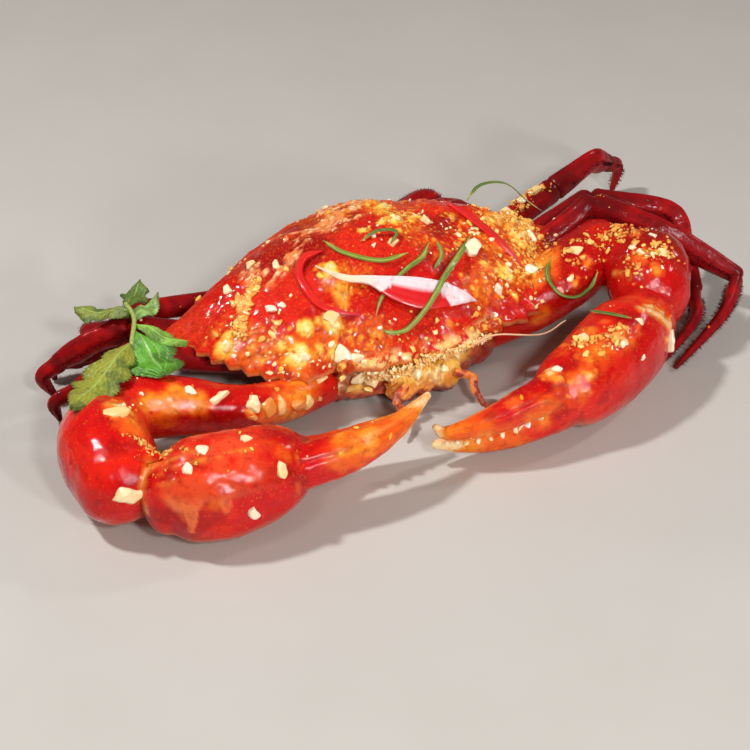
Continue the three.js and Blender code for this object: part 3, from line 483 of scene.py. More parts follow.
RED = rgb("CC120C")
BRIGHT_RED = rgb("E02412")
DEEP_RED = rgb("8C0A0C")
MAROON = rgb("4A090C")
ORANGE = rgb("EC6216")
AMBER = rgb("F2962A")
CREAM = rgb("F6DFA6")
PALE = rgb("FFF6E2")
GOLD = rgb("E2A03A")
BROWN = rgb("A65A1C")
YELLOW = rgb("F7CE4E")
PEACH = rgb("F0985A")
CLAW_RED = rgb("CA0C0C")
SAUCE_FILM = rgb("F05A30")
LEG_RED = rgb("8E0D12")
LEAF = rgb("52821C")
LEAF_DARK = rgb("2A4A12")
LEAF_PALE = rgb("B4D27C")
PITH = rgb("F4DCE0")
CHILLI = rgb("D8101A")


def mix(base, colour, share):
    """From the base to the colour by a share of 0 to 1 at each point."""
    return base + (np.asarray(colour) - base) * np.clip(share, 0, 1)[..., None]


def plain(colour, points):
    """One colour for every point."""
    return np.broadcast_to(colour, points.shape)


def smooth(values, low, high):
    """0 below `low`, 1 above `high`, and a soft step between them."""
    t = np.clip((values - low) / (high - low), 0, 1)
    return t * t * (3 - 2 * t)


# --------------------------------------------------------------------- noise


def lattice(cell, seed):
    """A number from 0 to 1 for each whole-numbered cell."""
    mixed = (cell[..., 0] * 73856093) ^ (cell[..., 1] * 19349663) ^ (cell[..., 2] * 83492791)
    mixed = mixed ^ (seed * 40503 + 977)
    mixed = (mixed ^ (mixed >> 13)) * 1274126177
    return ((mixed ^ (mixed >> 16)) & 0xFFFFFF) / 0xFFFFFF


def noise(points, size, seed):
    """Smooth noise from -1 to 1 in lumps about `size` across."""
    scaled = np.asarray(points) / size
    cell = np.floor(scaled).astype(np.int64)
    part = scaled - cell
    part = part * part * (3 - 2 * part)
    total = 0
    for corner in np.ndindex(2, 2, 2):
        weight = np.prod(np.where(np.array(corner) == 1, part, 1 - part), axis=-1)
        total = total + weight * lattice(cell + np.array(corner), seed)
    return 2 * total - 1


FINER = 0.55                   # how strong each finer layer of noise is beside the one before


def fractal(points, size, seed, octaves=4):
    """Noise with finer lumps on the coarse ones."""
    layers = [FINER ** k * noise(points, size / 2 ** k, seed * 17 + k) for k in range(octaves)]
    return sum(layers) * 0.9


def cells(points, size, seed):
    """Lumps about `size` across: 1 in the middle, 0 at the rim, and each lump's own number."""
    points = np.asarray(points, float)
    warp = np.stack([noise(points, size, seed + k) for k in range(3)], axis=-1)
    scaled = points / size + 0.3 * warp
    home = np.floor(scaled).astype(np.int64)
    nearest = np.full(scaled.shape[:-1], np.inf)
    number = np.zeros(scaled.shape[:-1])
    for step in np.ndindex(3, 3, 3):
        cell = home + np.array(step) - 1
        jitter = np.stack([lattice(cell, seed + k) for k in (5, 6, 7)], axis=-1)
        gap = np.linalg.norm(cell + jitter - scaled, axis=-1)
        closer = gap < nearest
        nearest = np.where(closer, gap, nearest)
        number = np.where(closer, lattice(cell, seed + 8), number)
    return np.clip(1 - (nearest / 0.65) ** 2, 0, 1), number


def near_path(points, path, width):
    """1 on the path through some points, and falling off over `width`."""
    path = np.asarray(path, float)
    nearest = np.full(points.shape[:-1], np.inf)
    for start, end in zip(path[:-1], path[1:]):
        along = end - start
        t = np.clip((points - start) @ along / (along @ along), 0, 1)
        gap = np.linalg.norm(points - start - t[..., None] * along, axis=-1)
        nearest = np.minimum(nearest, gap)
    return np.exp(-(nearest / width) ** 2)


def patches(points, table):
    """Sum of soft spots: x, y, z, radius, strength."""
    total = np.zeros(points.shape[:-1])
    for x, y, z, radius, strength in table:
        gap = np.linalg.norm(points - np.array([x, y, z]), axis=-1)
        total += strength * np.exp(-(gap / radius) ** 2)
    return total


# ------------------------------------------------------------------ surfaces

surfaces = {}                  # points and triangles of the shell and limbs, for what lies on them


def unit(vectors):
    """The same directions with a length of 1."""
    return vectors / np.maximum(np.linalg.norm(vectors, axis=-1, keepdims=True), 1e-9)


NUDGE = 1e-3                   # along a line, for its direction


def spline(stations, t):
    """A smooth line through evenly spaced stations, for t from 0 to 1."""
    stations = np.asarray(stations, float)
    first = 2 * stations[0] - stations[1]
    last = 2 * stations[-1] - stations[-2]
    padded = np.vstack([first, stations, last])
    place = np.clip(t, 0, 1) * (len(stations) - 1)
    cell = np.minimum(place.astype(int), len(stations) - 2)
    f = (place - cell)[:, None]
    a, b, c, d = (padded[cell + k] for k in range(4))
    bend = (2 * a - 5 * b + 4 * c - d) * f ** 2 + (3 * b - a - 3 * c + d) * f ** 3
    return (2 * b + (c - a) * f + bend) / 2


def slope(stations, t):
    """Which way the smooth line runs, not of unit length."""
    return spline(stations, t + NUDGE) - spline(stations, t - NUDGE)


def grid_normals(grid):
    """Outward normals of a grid of rings."""
    around = np.roll(grid, -1, axis=1) - np.roll(grid, 1, axis=1)
    down = np.gradient(grid, axis=0)
    return unit(np.cross(down, around))


def raised(grid, height):
    """The grid moved out along its normals."""
    return grid + grid_normals(grid) * height[..., None]


def above_floor(points):
    """The points, with none below the floor."""
    points[..., 2] = np.maximum(points[..., 2], LOWEST)
    return points


def closed(grid):
    """Points and triangles of a grid of rings, with a point at either end."""
    rows, sides, _ = grid.shape
    points = np.vstack([grid.reshape(-1, 3), grid[0].mean(0), grid[-1].mean(0)])
    index = np.arange(rows * sides).reshape(rows, sides)
    after = np.roll(index, -1, axis=1)
    a, b, c, d = index[:-1].ravel(), index[1:].ravel(), after[1:].ravel(), after[:-1].ravel()
    first = np.full(sides, rows * sides)
    triangles = [
        np.stack([a, b, d], 1), np.stack([d, b, c], 1),
        np.stack([first, index[0], after[0]], 1), np.stack([first + 1, after[-1], index[-1]], 1),
    ]
    return points, np.vstack(triangles)


def sideways(rings, tangents, up_at):
    """The way of each ring's width: level at first, then turning little, or square to `up_at`."""
    side = unit(np.cross(tangents[0], [0, 0, 1]))
    widths = []
    for centre, tangent in zip(rings, tangents):
        if up_at is not None:
            side = np.cross(tangent, up_at(centre))
        side = unit(side - tangent * (side @ tangent))
        widths.append(side)
    return np.array(widths)


def oval(angle, power):
    """Across and up from -1 to 1 round a cross-section, squarer as the power falls below 1."""
    turns = np.cos(angle), np.sin(angle)
    return [np.sign(values) * np.abs(values) ** power for values in turns]


FEWEST_STEPS = 12
CAP_RINGS = 8
POLE_GAP = 0.03                # in radians, so that the last ring isn't a point


def loft(stations, step, sides=64, cap=(0.7, 0.9), power=2.2, up_at=None, taper=None):
    """Rings along stations of x, y, z, half width and half height, with rounded ends.

    The rings are `step` apart, and `cap` is how far each end reaches in half widths.
    Returns the grid, how far along each ring is, and the angle of each side.
    """
    stations = np.asarray(stations, float)
    length = np.linalg.norm(np.diff(stations[:, :3], axis=0), axis=1).sum()
    t = np.linspace(0, 1, max(int(length / step), FEWEST_STEPS) + 1)
    rings = spline(stations, t)
    tangents = unit(slope(stations, t)[:, :3])
    widths = sideways(rings, tangents, up_at)
    cap_turns = np.linspace(0, math.pi / 2, CAP_RINGS + 1)[1:]
    cap_turns[-1] -= POLE_GAP
    level = np.zeros(len(t))
    order = np.clip(np.arange(-CAP_RINGS, len(t) + CAP_RINGS), 0, len(t) - 1)
    turns = np.concatenate([cap_turns[::-1], level, cap_turns])
    ends = np.concatenate([np.full(CAP_RINGS, -cap[0]), level, np.full(CAP_RINGS, cap[1])])
    half = rings[order, 3:]
    if taper is not None:
        half = half * taper(t[order])[:, None]
    reach = (ends * half.mean(1) * np.sin(turns))[:, None]
    centres = rings[order, :3] + tangents[order] * reach
    half = half * np.cos(turns)[:, None]
    ups = np.cross(widths, tangents)[order]
    angle = np.arange(sides) / sides * 2 * math.pi
    across, up = oval(angle, 2 / power)
    grid = centres[:, None] + widths[order][:, None] * (half[:, :1] * across)[..., None]
    return grid + ups[:, None] * (half[:, 1:] * up)[..., None], t[order], angle


def mesh_object(name, points, faces, material, colour, marks=None):
    """A smooth mesh from numpy points and triangles, which rides on the crab.

    The colour of each point is its "tint", and `marks` are further values that a look reads.
    """
    mesh = bpy.data.meshes.new(name)
    faces = np.asarray(faces, np.int32)
    mesh.vertices.add(len(points))
    mesh.loops.add(faces.size)
    mesh.polygons.add(len(faces))
    mesh.vertices.foreach_set("co", (np.asarray(points) * MM).astype(np.float32).ravel())
    mesh.loops.foreach_set("vertex_index", faces.ravel())
    mesh.polygons.foreach_set("loop_start", np.arange(0, faces.size, 3, dtype=np.int32))
    mesh.polygons.foreach_set("use_smooth", np.ones(len(faces), bool))
    mesh.update(calc_edges=True)
    tint = mesh.attributes.new("tint", "FLOAT_COLOR", "POINT")
    tint.data.foreach_set("color", np.hstack([colour, np.ones((len(points), 1))]).ravel())
    for mark, values in (marks or {}).items():
        mesh.attributes.new(mark, "FLOAT", "POINT").data.foreach_set("value", values.ravel())
    mesh.materials.append(material)
    piece = bpy.data.objects.new(name, mesh)
    bpy.context.scene.collection.objects.link(piece)
    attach(piece, "root")
    return piece


def with_poles(values):
    """Values on a grid, with those of the two end points."""
    flat = values.reshape(-1, *values.shape[2:])
    return np.concatenate([flat, [values[0].mean(0)], [values[-1].mean(0)]])


def grid_object(name, grid, colour, material, nodes, marks=None):
    """A closed grid as one piece, in place of the CAD nodes that it replaces."""
    points, faces = closed(grid)
    marks = {mark: with_poles(values) for mark, values in (marks or {}).items()}
    piece = mesh_object(name, points, faces, material, with_poles(colour), marks)
    if nodes:
        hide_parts(*nodes)


# ----------------------------------------------------------------- materials


class Look:
    """A Principled material, with short calls for the nodes that it needs."""

    def __init__(self, name):
        self.material = bpy.data.materials.new(name)
        self.material.use_nodes = True
        self.tree = self.material.node_tree
        self.shader = self.tree.nodes["Principled BSDF"]
        self.place = self.tree.nodes.new("ShaderNodeTexCoord").outputs["Object"]

    def set(self, **values):
        """Constant values of the shader's own inputs."""
        for name, value in values.items():
            self.shader.inputs[name.replace("_", " ")].default_value = value

    def link(self, output, name):
        """Joins an output to one of the shader's own inputs."""
        self.tree.links.new(output, self.shader.inputs[name])

    def noise(self, size, detail, roughness=0.55):
        """Noise from 0 to 1 in lumps about `size` across, at the place on the piece."""
        node = self.tree.nodes.new("ShaderNodeTexNoise")
        node.inputs["Scale"].default_value = 1 / (size * MM)
        node.inputs["Detail"].default_value = detail
        node.inputs["Roughness"].default_value = roughness
        self.tree.links.new(self.place, node.inputs["Vector"])
        return node.outputs["Fac"]

    def range(self, value, low, high, to_low, to_high):
        """A soft step from `to_low` to `to_high` while the value goes from `low` to `high`."""
        node = self.tree.nodes.new("ShaderNodeMapRange")
        node.interpolation_type = "SMOOTHSTEP"
        limits = {"From Min": low, "From Max": high, "To Min": to_low, "To Max": to_high}
        for name, number in limits.items():
            node.inputs[name].default_value = number
        self.tree.links.new(value, node.inputs["Value"])
        return node.outputs["Result"]

    def mark(self, name, output="Fac"):
        """A value that the mesh carries at each point."""
        node = self.tree.nodes.new("ShaderNodeAttribute")
        node.attribute_name = name
        return node.outputs[output]

    def blend(self, base, colour, share):
        """Goes from `base` to `colour`; each may be a colour or an output."""
        node = self.tree.nodes.new("ShaderNodeMix")
        node.data_type = "RGBA"
        for socket, value in zip((node.inputs[6], node.inputs[7]), (base, colour)):
            if isinstance(value, bpy.types.NodeSocket):
                self.tree.links.new(value, socket)
            else:
                socket.default_value = (*value, 1)
        self.tree.links.new(share, node.inputs[0])
        return node.outputs[2]

    def bump(self, height, depth, below=None):
        """Relief `depth` deep, on top of the relief `below`."""
        node = self.tree.nodes.new("ShaderNodeBump")
        node.inputs["Distance"].default_value = depth * MM
        self.tree.links.new(height, node.inputs["Height"])
        if below is not None:
            self.tree.links.new(below, node.inputs["Normal"])
        return node.outputs["Normal"]

    def paint(self, *flecks, base=None):
        """Base colour from the mesh, with flecks: colour, size, detail, low, high, strength."""
        tint = self.mark("tint", "Color") if base is None else base
        for colour, size, detail, low, high, strength in flecks:
            share = self.range(self.noise(size, detail), low, high, 0, strength)
            tint = self.blend(tint, colour, share)
        self.link(tint, "Base Color")

    def grain(self, name, size, detail, depth, below=None):
        """Fine relief on the shader's Normal or Coat Normal."""
        self.link(self.bump(self.noise(size, detail), depth, below), name)

    def soften(self, weight, radius, scale):
        """Light that goes in and comes out nearby."""
        self.set(Subsurface_Weight=weight, Subsurface_Radius=radius, Subsurface_Scale=scale * MM)


def shell_look():
    """Shell under a thick wet sauce, with fine flecks of it in other colours."""
    look = Look("shell")
    look.paint(
        [ORANGE, 1.1, 2, 0.52, 0.72, 0.35], [DEEP_RED, 2.1, 4, 0.5, 0.7, 0.5],
        [AMBER, 0.7, 1, 0.66, 0.76, 0.5],
    )
    look.grain("Normal", 1.3, 4, 0.3)
    look.grain("Coat Normal", 2.2, 2, 0.17)
    look.link(look.range(look.mark("dry"), 0, 1, 1, 0.1), "Coat Weight")
    look.set(Roughness=0.6, Specular_IOR_Level=0.05, Coat_Roughness=0.03, Coat_IOR=1.34)
    look.soften(0.12, (1, 0.3, 0.1), 1.5)
    return look.material


def claw_look():
    """Smooth hard shell, wet with sauce."""
    look = Look("claw")
    look.paint(
        [BRIGHT_RED, 5, 4, 0.5, 0.75, 0.3], [DEEP_RED, 2.4, 4, 0.5, 0.74, 0.45],
        [ORANGE, 1.3, 3, 0.58, 0.72, 0.35], [AMBER, 0.8, 1, 0.71, 0.79, 0.35],
    )
    look.grain("Normal", 1.5, 4, 0.2)
    wet = look.bump(look.noise(6, 2, 0.5), 0.4)
    look.grain("Coat Normal", 1.6, 3, 0.2, wet)
    look.set(Roughness=0.6, Specular_IOR_Level=0.02)
    look.set(Coat_Weight=1, Coat_Roughness=0.03, Coat_IOR=1.35)
    look.soften(0.12, (1, 0.2, 0.1), 1.5)
    return look.material


def leg_look():
    """Dark dry shell with little sauce."""
    look = Look("leg")
    look.paint([MAROON, 3, 4, 0.45, 0.75, 0.55], [RED, 1.2, 3, 0.6, 0.8, 0.4])
    look.link(look.range(look.noise(3, 3), 0.3, 0.7, 0.35, 0.6), "Roughness")
    look.grain("Normal", 0.9, 4, 0.16)
    look.grain("Coat Normal", 2, 3, 0.18)
    look.set(Coat_Weight=0.3, Coat_Roughness=0.1, Coat_IOR=1.36, Specular_IOR_Level=0.05)
    return look.material


def garlic_look():
    """Soft cooked garlic, yellow in places."""
    look = Look("garlic")
    look.paint([YELLOW, 2.6, 3, 0.52, 0.75, 0.45])
    look.grain("Normal", 1.1, 3, 0.16)
    look.set(Roughness=0.35, Coat_Weight=0.6, Coat_Roughness=0.1)
    look.soften(0.3, (0.9, 0.55, 0.25), 1.2)
    return look.material


def crumb_look():
    """Fried crumbs, browned in places."""
    look = Look("crumbs")
    look.paint([BROWN, 0.7, 3, 0.5, 0.8, 0.45])
    look.grain("Normal", 0.4, 3, 0.12)
    look.set(Roughness=0.45, Coat_Weight=0.5, Coat_Roughness=0.15)
    return look.material


def flesh_look():
    """The soft wet parts of the face and the mouth, and the belly."""
    look = Look("flesh")
    look.paint([BROWN, 1.6, 4, 0.6, 0.8, 0.3], [YELLOW, 2.2, 3, 0.58, 0.78, 0.3])
    look.link(look.range(look.noise(2, 3), 0.3, 0.7, 0.3, 0.55), "Roughness")
    look.grain("Normal", 1.4, 4, 0.25)
    look.grain("Coat Normal", 1.8, 3, 0.25)
    look.set(Coat_Weight=0.8, Coat_Roughness=0.06, Coat_IOR=1.42)
    look.soften(0.3, (1, 0.5, 0.2), 2)
    return look.material


def shred_look(name, pale, dark, ribs, roughness, wet):
    """A cut strip whose fibres run along it."""
    look = Look(name)
    tint = look.mark("tint", "Color")
    fibre = look.mark("fibre")
    ribbed = look.blend(tint, pale, look.range(fibre, 0.5, 1, 0, 0.18 * ribs))
    look.paint([dark, 2, 3, 0.5, 0.8, 0.35], base=ribbed)
    look.link(look.bump(fibre, 0.07 * ribs), "Normal")
    look.set(Roughness=roughness, Coat_Weight=wet, Coat_Roughness=0.1, Coat_IOR=1.4)
    return look.material


def leaf_look():
    """Fresh leaf, darker in places."""
    look = Look("coriander")
    look.paint([LEAF_DARK, 1.6, 4, 0.48, 0.75, 0.4])
    look.grain("Normal", 0.9, 4, 0.25)
    look.set(Roughness=0.5, Coat_Weight=0.15, Coat_Roughness=0.25)
    look.soften(0.1, (0.4, 0.8, 0.1), 0.8)
    return look.material


def floor_look():
    """Plain pale studio floor."""
    look = Look("floor")
    look.link(look.blend(rgb("C2BEB8"), rgb("BAB5AE"), look.noise(60, 3)), "Base Color")
    look.set(Roughness=0.6)
    return look.material


SHELL_LOOK = shell_look()
LIMB_LOOKS = {"claw": claw_look(), "leg": leg_look()}
GARLIC_LOOK = garlic_look()
CRUMB_LOOK = crumb_look()
FLESH_LOOK = flesh_look()
SCALLION_LOOK = shred_look("spring_onion", rgb("C8D27A"), LEAF_DARK, 3, 0.55, 0.12)
CHILLI_LOOK = shred_look("chilli", rgb("F4604A"), DEEP_RED, 0.6, 0.3, 0.6)
LEAF_LOOK = leaf_look()


# ----------------------------------------------------------------- the shell


def tooth_height(run):
    """How far the edge is pushed out: two lobes on the brow, nine teeth, and the last one long."""
    saw = 1 - np.abs(2 * (run % 1) - 1)
    brow = np.where(run < BROW_SPAN, BROW_LOBE * saw, 0)
    phase = (run - TEETH_FROM) * TEETH / (TEETH_TO - TEETH_FROM)
    saw = (1 - np.abs(2 * (phase % 1) - 1)) ** TOOTH_SHARPNESS
    teeth = np.where((run > TEETH_FROM) & (run < TEETH_TO), TOOTH * saw, 0)
    return brow + teeth + SPIKE * np.exp(-((run - TEETH_TO) / SPIKE_SPAN) ** 2)


def shell_edge(steps):
    """Points all the way round the edge, and the push of each tooth."""
    last = len(SHELL_EDGE) - 1
    t = np.linspace(0, 1, steps + 1)
    at = spline(SHELL_EDGE, t)
    tangent = slope(SHELL_EDGE, t)
    outward = np.stack([tangent[:, 1], -tangent[:, 0], np.zeros(len(t))], 1)
    push = unit(outward) * (tooth_height(t * last) * (1 + 0.3 * noise(at, 4, 99)))[:, None]
    flip = np.array([-1, 1, 1])
    at = np.vstack([at, at[-2:0:-1] * flip])
    return at, np.vstack([push, push[-2:0:-1] * flip])


def relief(x, y):
    """The swells and hollows of the shell, alike on both halves."""
    total = np.zeros_like(x)
    for height, cx, cy, sx, sy in SHELL_RELIEF:
        for centre in {cx, -cx}:
            total = total + height * np.exp(-((x - centre) / sx) ** 2 - ((y - cy) / sy) ** 2)
    return total


def shell_top(x, y, part, edge_height):
    """Height of the dome over points at one part of the way from its middle to its edge."""
    dome = np.clip(1 - part * part, 0, 1) ** DOME_POWER
    return edge_height + (SHELL_TOP - edge_height) * dome + relief(x, y) * (1 - part ** 4)


EDGE_AT, _ = shell_edge(COARSE_EDGE_STEPS)


def shell_height(x, y):
    """Height of the shell over one point inside its edge."""
    spot = np.array([x, y]) - SHELL_CENTRE
    a = EDGE_AT[:, :2] - SHELL_CENTRE
    b = np.roll(a, -1, axis=0)
    whole = a[:, 0] * b[:, 1] - a[:, 1] * b[:, 0]
    to_b = (a[:, 0] * spot[1] - a[:, 1] * spot[0]) / whole
    to_a = (spot[0] * b[:, 1] - spot[1] * b[:, 0]) / whole
    k = int(np.argmax(np.minimum(to_a, to_b)))
    part = min(to_a[k] + to_b[k], 1)
    share = to_b[k] / max(to_a[k] + to_b[k], 1e-9)
    edge = EDGE_AT[k, 2] + (np.roll(EDGE_AT, -1, axis=0)[k, 2] - EDGE_AT[k, 2]) * share
    return float(shell_top(np.float64(x), np.float64(y), part, edge))


def shell_normal(point):
    """Which way the shell faces at a point."""
    x, y = point[0], point[1]
    slope_x = (shell_height(x + 1, y) - shell_height(x - 1, y)) / 2
    slope_y = (shell_height(x, y + 1) - shell_height(x, y - 1)) / 2
    return unit(np.array([-slope_x, -slope_y, 1.0]))


def smears(points):
    """Strokes of pale sauce along the back of the shell."""
    along = points @ np.array([math.cos(SMEAR_TURN), math.sin(SMEAR_TURN), 0])
    across = points @ np.array([-math.sin(SMEAR_TURN), math.cos(SMEAR_TURN), 0])
    stretched = np.stack([along * 0.35, across, 0.3 * points[..., 2]], axis=-1)
    where = patches(points, SMEAR_PATCHES)
    broken = 0.25 * fractal(points, 2, 16)
    strokes = smooth(fractal(stretched, 4.2, 15) + 0.4 * where + broken, 0.35, 0.65)
    return strokes * smooth(where, 0.2, 0.5)


def shell_tint(points, thick, yellow, shaded_crease):
    """Red, with thick orange sauce in patches, yellow lumps and painted shade in the creases
    between.
    """
    clean = patches(points, CLEAN_PATCHES)
    tint = plain(RED, points)
    tint = mix(tint, BRIGHT_RED, smooth(fractal(points, 16, 3) + clean, -0.1, 0.4))
    orange = thick - clean + 0.35 * fractal(points, 3.5, 5)
    orange = orange + 0.3 * smooth(points[..., 1], -8, 20)
    tint = mix(tint, ORANGE, 0.85 * smooth(orange, 0.25, 0.8))
    tint = mix(tint, AMBER, 0.5 * smooth(orange + 0.4 * fractal(points, 5, 8), 0.95, 1.4))
    dark = patches(points, DARK_PATCHES) + 0.4 * fractal(points, 7, 6) - 0.6 * clean
    tint = mix(tint, DEEP_RED, 0.8 * smooth(dark, 0.2, 0.6))
    # Painted shade: dark red in the creases between the lumps.
    tint = mix(tint, rgb("A81410"), 0.7 * shaded_crease)
    smear = smears(points)
    tint = mix(tint, DEEP_RED, 0.6 * smooth(patches(points, SMEAR_PATCHES), 0.3, 0.7) * (1 - smear))
    tint = mix(tint, PEACH, 0.7 * smear)
    tint = mix(tint, rgb("FBD6A0"), 0.8 * smear * smooth(fractal(points, 1.6, 17), 0, 0.4))
    ripe = yellow * (1 + 0.35 * fractal(points, 2.2, 18))
    tint = mix(tint, AMBER, smooth(ripe, 0.12, 0.38))
    tint = mix(tint, rgb("FBD460"), 0.9 * smooth(ripe, 0.3, 0.55))
    return mix(tint, rgb("FBE7A8"), 0.9 * smooth(ripe, 0.55, 0.9))


def shell_sauce(grid):
    """The sauce on the shell: its height, how thick and how yellow it is, and its creases for
    painted shade.
    """
    thick = smooth(patches(grid, ORANGE_PATCHES) + 0.3 * fractal(grid, 8, 97), 0.1, 0.8)
    clear = np.clip(1 - patches(grid, CLEAN_PATCHES), 0, 1)
    lump = np.zeros(grid.shape[:2])
    yellow = np.zeros(grid.shape[:2])
    for x, y, radius, rise, cream in SHELL_LUMPS:
        wobble = 1 + 0.45 * noise(grid, radius * 0.5, 21) + 0.15 * noise(grid, radius * 0.2, 22)
        gap = np.hypot(grid[..., 0] - x, grid[..., 1] - y) * wobble / radius
        lump = np.maximum(lump, rise * np.exp(-gap ** 2 * 1.6))
        yellow = np.maximum(yellow, cream * np.exp(-gap ** 2 * 2.7))
    shaded_crease = 0.25 + 0.75 * thick
    crust = np.clip(patches(grid, CRUST_PATCHES), 0, 1)
    for size, rise, ripe in SAUCE_LUMPS:
        dome, number = cells(grid, size, int(size * 10))
        dome = dome * smooth(number, 0.25, 0.45) * (0.3 + 0.7 * thick) * clear
        lump = lump + rise * dome * (0.5 + number) * (1 + 0.4 * crust)
        ready = smooth(number + 0.5 * crust, 0.72, 0.95)
        yellow = np.maximum(yellow, dome * (ripe + 0.35 * crust) * ready)
        shaded_crease = shaded_crease * (1 - 0.8 * dome)
    shaded_crease = shaded_crease * (1 - smooth(yellow, 0.1, 0.4))
    height = lump + 0.4 * fractal(grid, 9, 1) + 0.7 * smears(grid) + 0.5 * thick
    return height, thick, yellow, shaded_crease


def shell_rings():
    """Rings from the middle of the dome over its edge to the underside, and how far out each is."""
    at, push = shell_edge(EDGE_STEPS)
    centre = np.array([*SHELL_CENTRE, 0])

    def ring(part, height=None):
        spot = centre + (at - centre) * part
        share = max(part - TEETH_ROOT, 0) / (1 - TEETH_ROOT)
        spot = spot + push * share ** 1.5
        on_dome = shell_top(spot[:, 0], spot[:, 1], part, at[:, 2])
        spot[:, 2] = on_dome if height is None else height
        return spot

    parts = np.linspace(0.004, 1, SHELL_ROWS) ** 0.85
    rings = [ring(part) for part in parts]
    rings += [ring(part, at[:, 2] - SHELL_LIP * drop) for part, drop in SHELL_RIM]
    rings += [ring(part, SHELL_FLOOR) for part in SHELL_UNDERSIDE]
    return np.array(rings), parts


def above(grid, values):
    """One value for each ring of the dome, and 0 under it."""
    mask = np.zeros(grid.shape[:2])
    mask[:SHELL_ROWS] = values[:, None]
    return mask


def shell_piece():
    """The shell under its sauce: bare red, a golden brow, an orange edge and a pale underside."""
    grid, parts = shell_rings()
    on_top = above(grid, 1 - 0.6 * smooth(parts, 0.9, 1))
    height, thick, yellow, shaded_crease = shell_sauce(grid)
    tint = shell_tint(grid, thick, yellow * on_top, shaded_crease)
    grid = raised(grid, height * on_top)
    x, y = grid[..., 0], grid[..., 1]
    edge = above(grid, smooth(parts, 0.8, 0.95))
    tint = mix(tint, rgb("C8301A"), 0.8 * edge * smooth(y, -25, -5))
    brow = above(grid, smooth(parts, 0.93, 0.99))
    brow = brow * (1 - smooth(np.abs(x), 28, 36)) * (1 - smooth(y, -40, -36))
    tint = mix(tint, rgb("FBD98A"), 0.9 * brow * smooth(fractal(grid, 2.4, 12), -0.4, 0.1))
    under = 1 - above(grid, np.ones(SHELL_ROWS))
    tint = mix(tint, rgb("DE8A4A"), 0.7 * under)
    surfaces["carapace"] = closed(grid[:SHELL_ROWS])
    dry = edge * smooth(y, -30, -15) + 0.6 * smooth(smears(grid), 0.2, 0.6)
    dry = np.clip(dry + patches(grid, DRY_PATCHES), 0, 1)
    grid_object("shell_dressed", grid, tint, SHELL_LOOK, ["carapace"], {"dry": dry})


# ------------------------------------------------------------------ the limbs

FULL_RELIEF = 6                # half width of a limb that takes the whole relief


def leg_tint(points, normals):
    """Dark red, paler underneath."""
    tint = plain(LEG_RED, points)
    tint = mix(tint, RED, 0.35 * smooth(fractal(points, 9, 31), 0, 0.5))
    return mix(tint, rgb("B0452A"), 0.6 * smooth(-normals[..., 2], 0.35, 0.95))


def claw_tint(points, normals):
    """Red, orange and cream sauce in patches, dark patches mostly of painted shade, orange
    underneath.
    """
    tint = plain(CLAW_RED, points)
    tint = mix(tint, BRIGHT_RED, 0.7 * smooth(fractal(points, 14, 31), -0.1, 0.4))
    tint = mix(tint, DEEP_RED, 0.5 * smooth(fractal(points, 9, 33), 0.2, 0.6))
    orange = patches(points, ORANGE_PATCHES) + 0.3 * fractal(points, 6, 35)
    tint = mix(tint, ORANGE, 0.9 * smooth(orange, 0.3, 0.75))
    tint = mix(tint, AMBER, 0.85 * smooth(orange + 0.25 * fractal(points, 3, 36), 0.65, 1))
    # Painted shade low down and under the shell, and a darker tone on top of the right wrist.
    tint = mix(tint, DEEP_RED, patches(points, SHADE_AND_DARK_PATCHES) * (1 - smooth(orange, 0.3, 0.7)))
    tint = mix(tint, CREAM, 0.7 * smooth(orange + 0.3 * fractal(points, 4, 37), 1.1, 1.5))
    tint = mix(tint, MAROON, 0.7 * smooth(patches(points, DARK_PATCHES), 0.4, 1))
    return mix(tint, rgb("EC8A50"), 0.6 * smooth(-normals[..., 2], 0.3, 0.95))


def film(points):
    """1 where sauce covers the front of the left palm, and 0 below its edge and its drips."""
    edge = FILM_EDGE + 1.2 * noise(points, 7, 38)
    for x, half_width, lowest in DRIPS:
        drip = lowest + (FILM_EDGE - lowest) * ((points[..., 0] - x) / half_width) ** 2
        edge = np.minimum(edge, drip)
    inside = smooth(points[..., 0], -116, -110) * (1 - smooth(points[..., 0], -88, -72))
    return smooth(points[..., 2] - edge, -1.2, 1.8) * inside


def limb_piece(name, stations, slot, bumps=0.35, shape=None, **options):
    """One segment of a limb: its form, its relief and its colour.

    `shape` adds relief and colour of its own. Returns the grid and its normals.
    """
    grid, along, angle = loft(stations, **options)
    reach = np.linalg.norm(grid - grid.mean(1, keepdims=True), axis=-1).mean(1)
    swell = np.clip(reach / FULL_RELIEF, 0.08, 1)[:, None]
    normals = grid_normals(grid)
    tint = {"claw": claw_tint, "leg": leg_tint}[slot](grid, normals)
    height = bumps * (fractal(grid, 9, 41) + 0.4 * fractal(grid, 2.4, 42))
    if shape is not None:
        more, tint = shape(grid, tint, along[:, None], angle[None, :])
        height = height + more
    grid = above_floor(grid + normals * (swell * height)[..., None])
    surfaces[name] = closed(grid)
    nodes = [name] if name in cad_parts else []
    grid_object(f"{name}_dressed", grid, tint, LIMB_LOOKS[slot], nodes)
    return grid, normals


def pale_tip(grid, tint, along, start, end):
    """Orange, then amber and cream, from `start` to `end` of a finger."""
    streak = (along - start) / (end - start) + 0.2 * fractal(grid * [0.4, 1, 1], 3, 44)
    tint = mix(tint, ORANGE, 0.8 * smooth(streak, 0, 0.5))
    tint = mix(tint, AMBER, 0.85 * smooth(streak, 0.45, 0.85))
    return mix(tint, CREAM, 0.9 * smooth(streak, 0.75, 1))


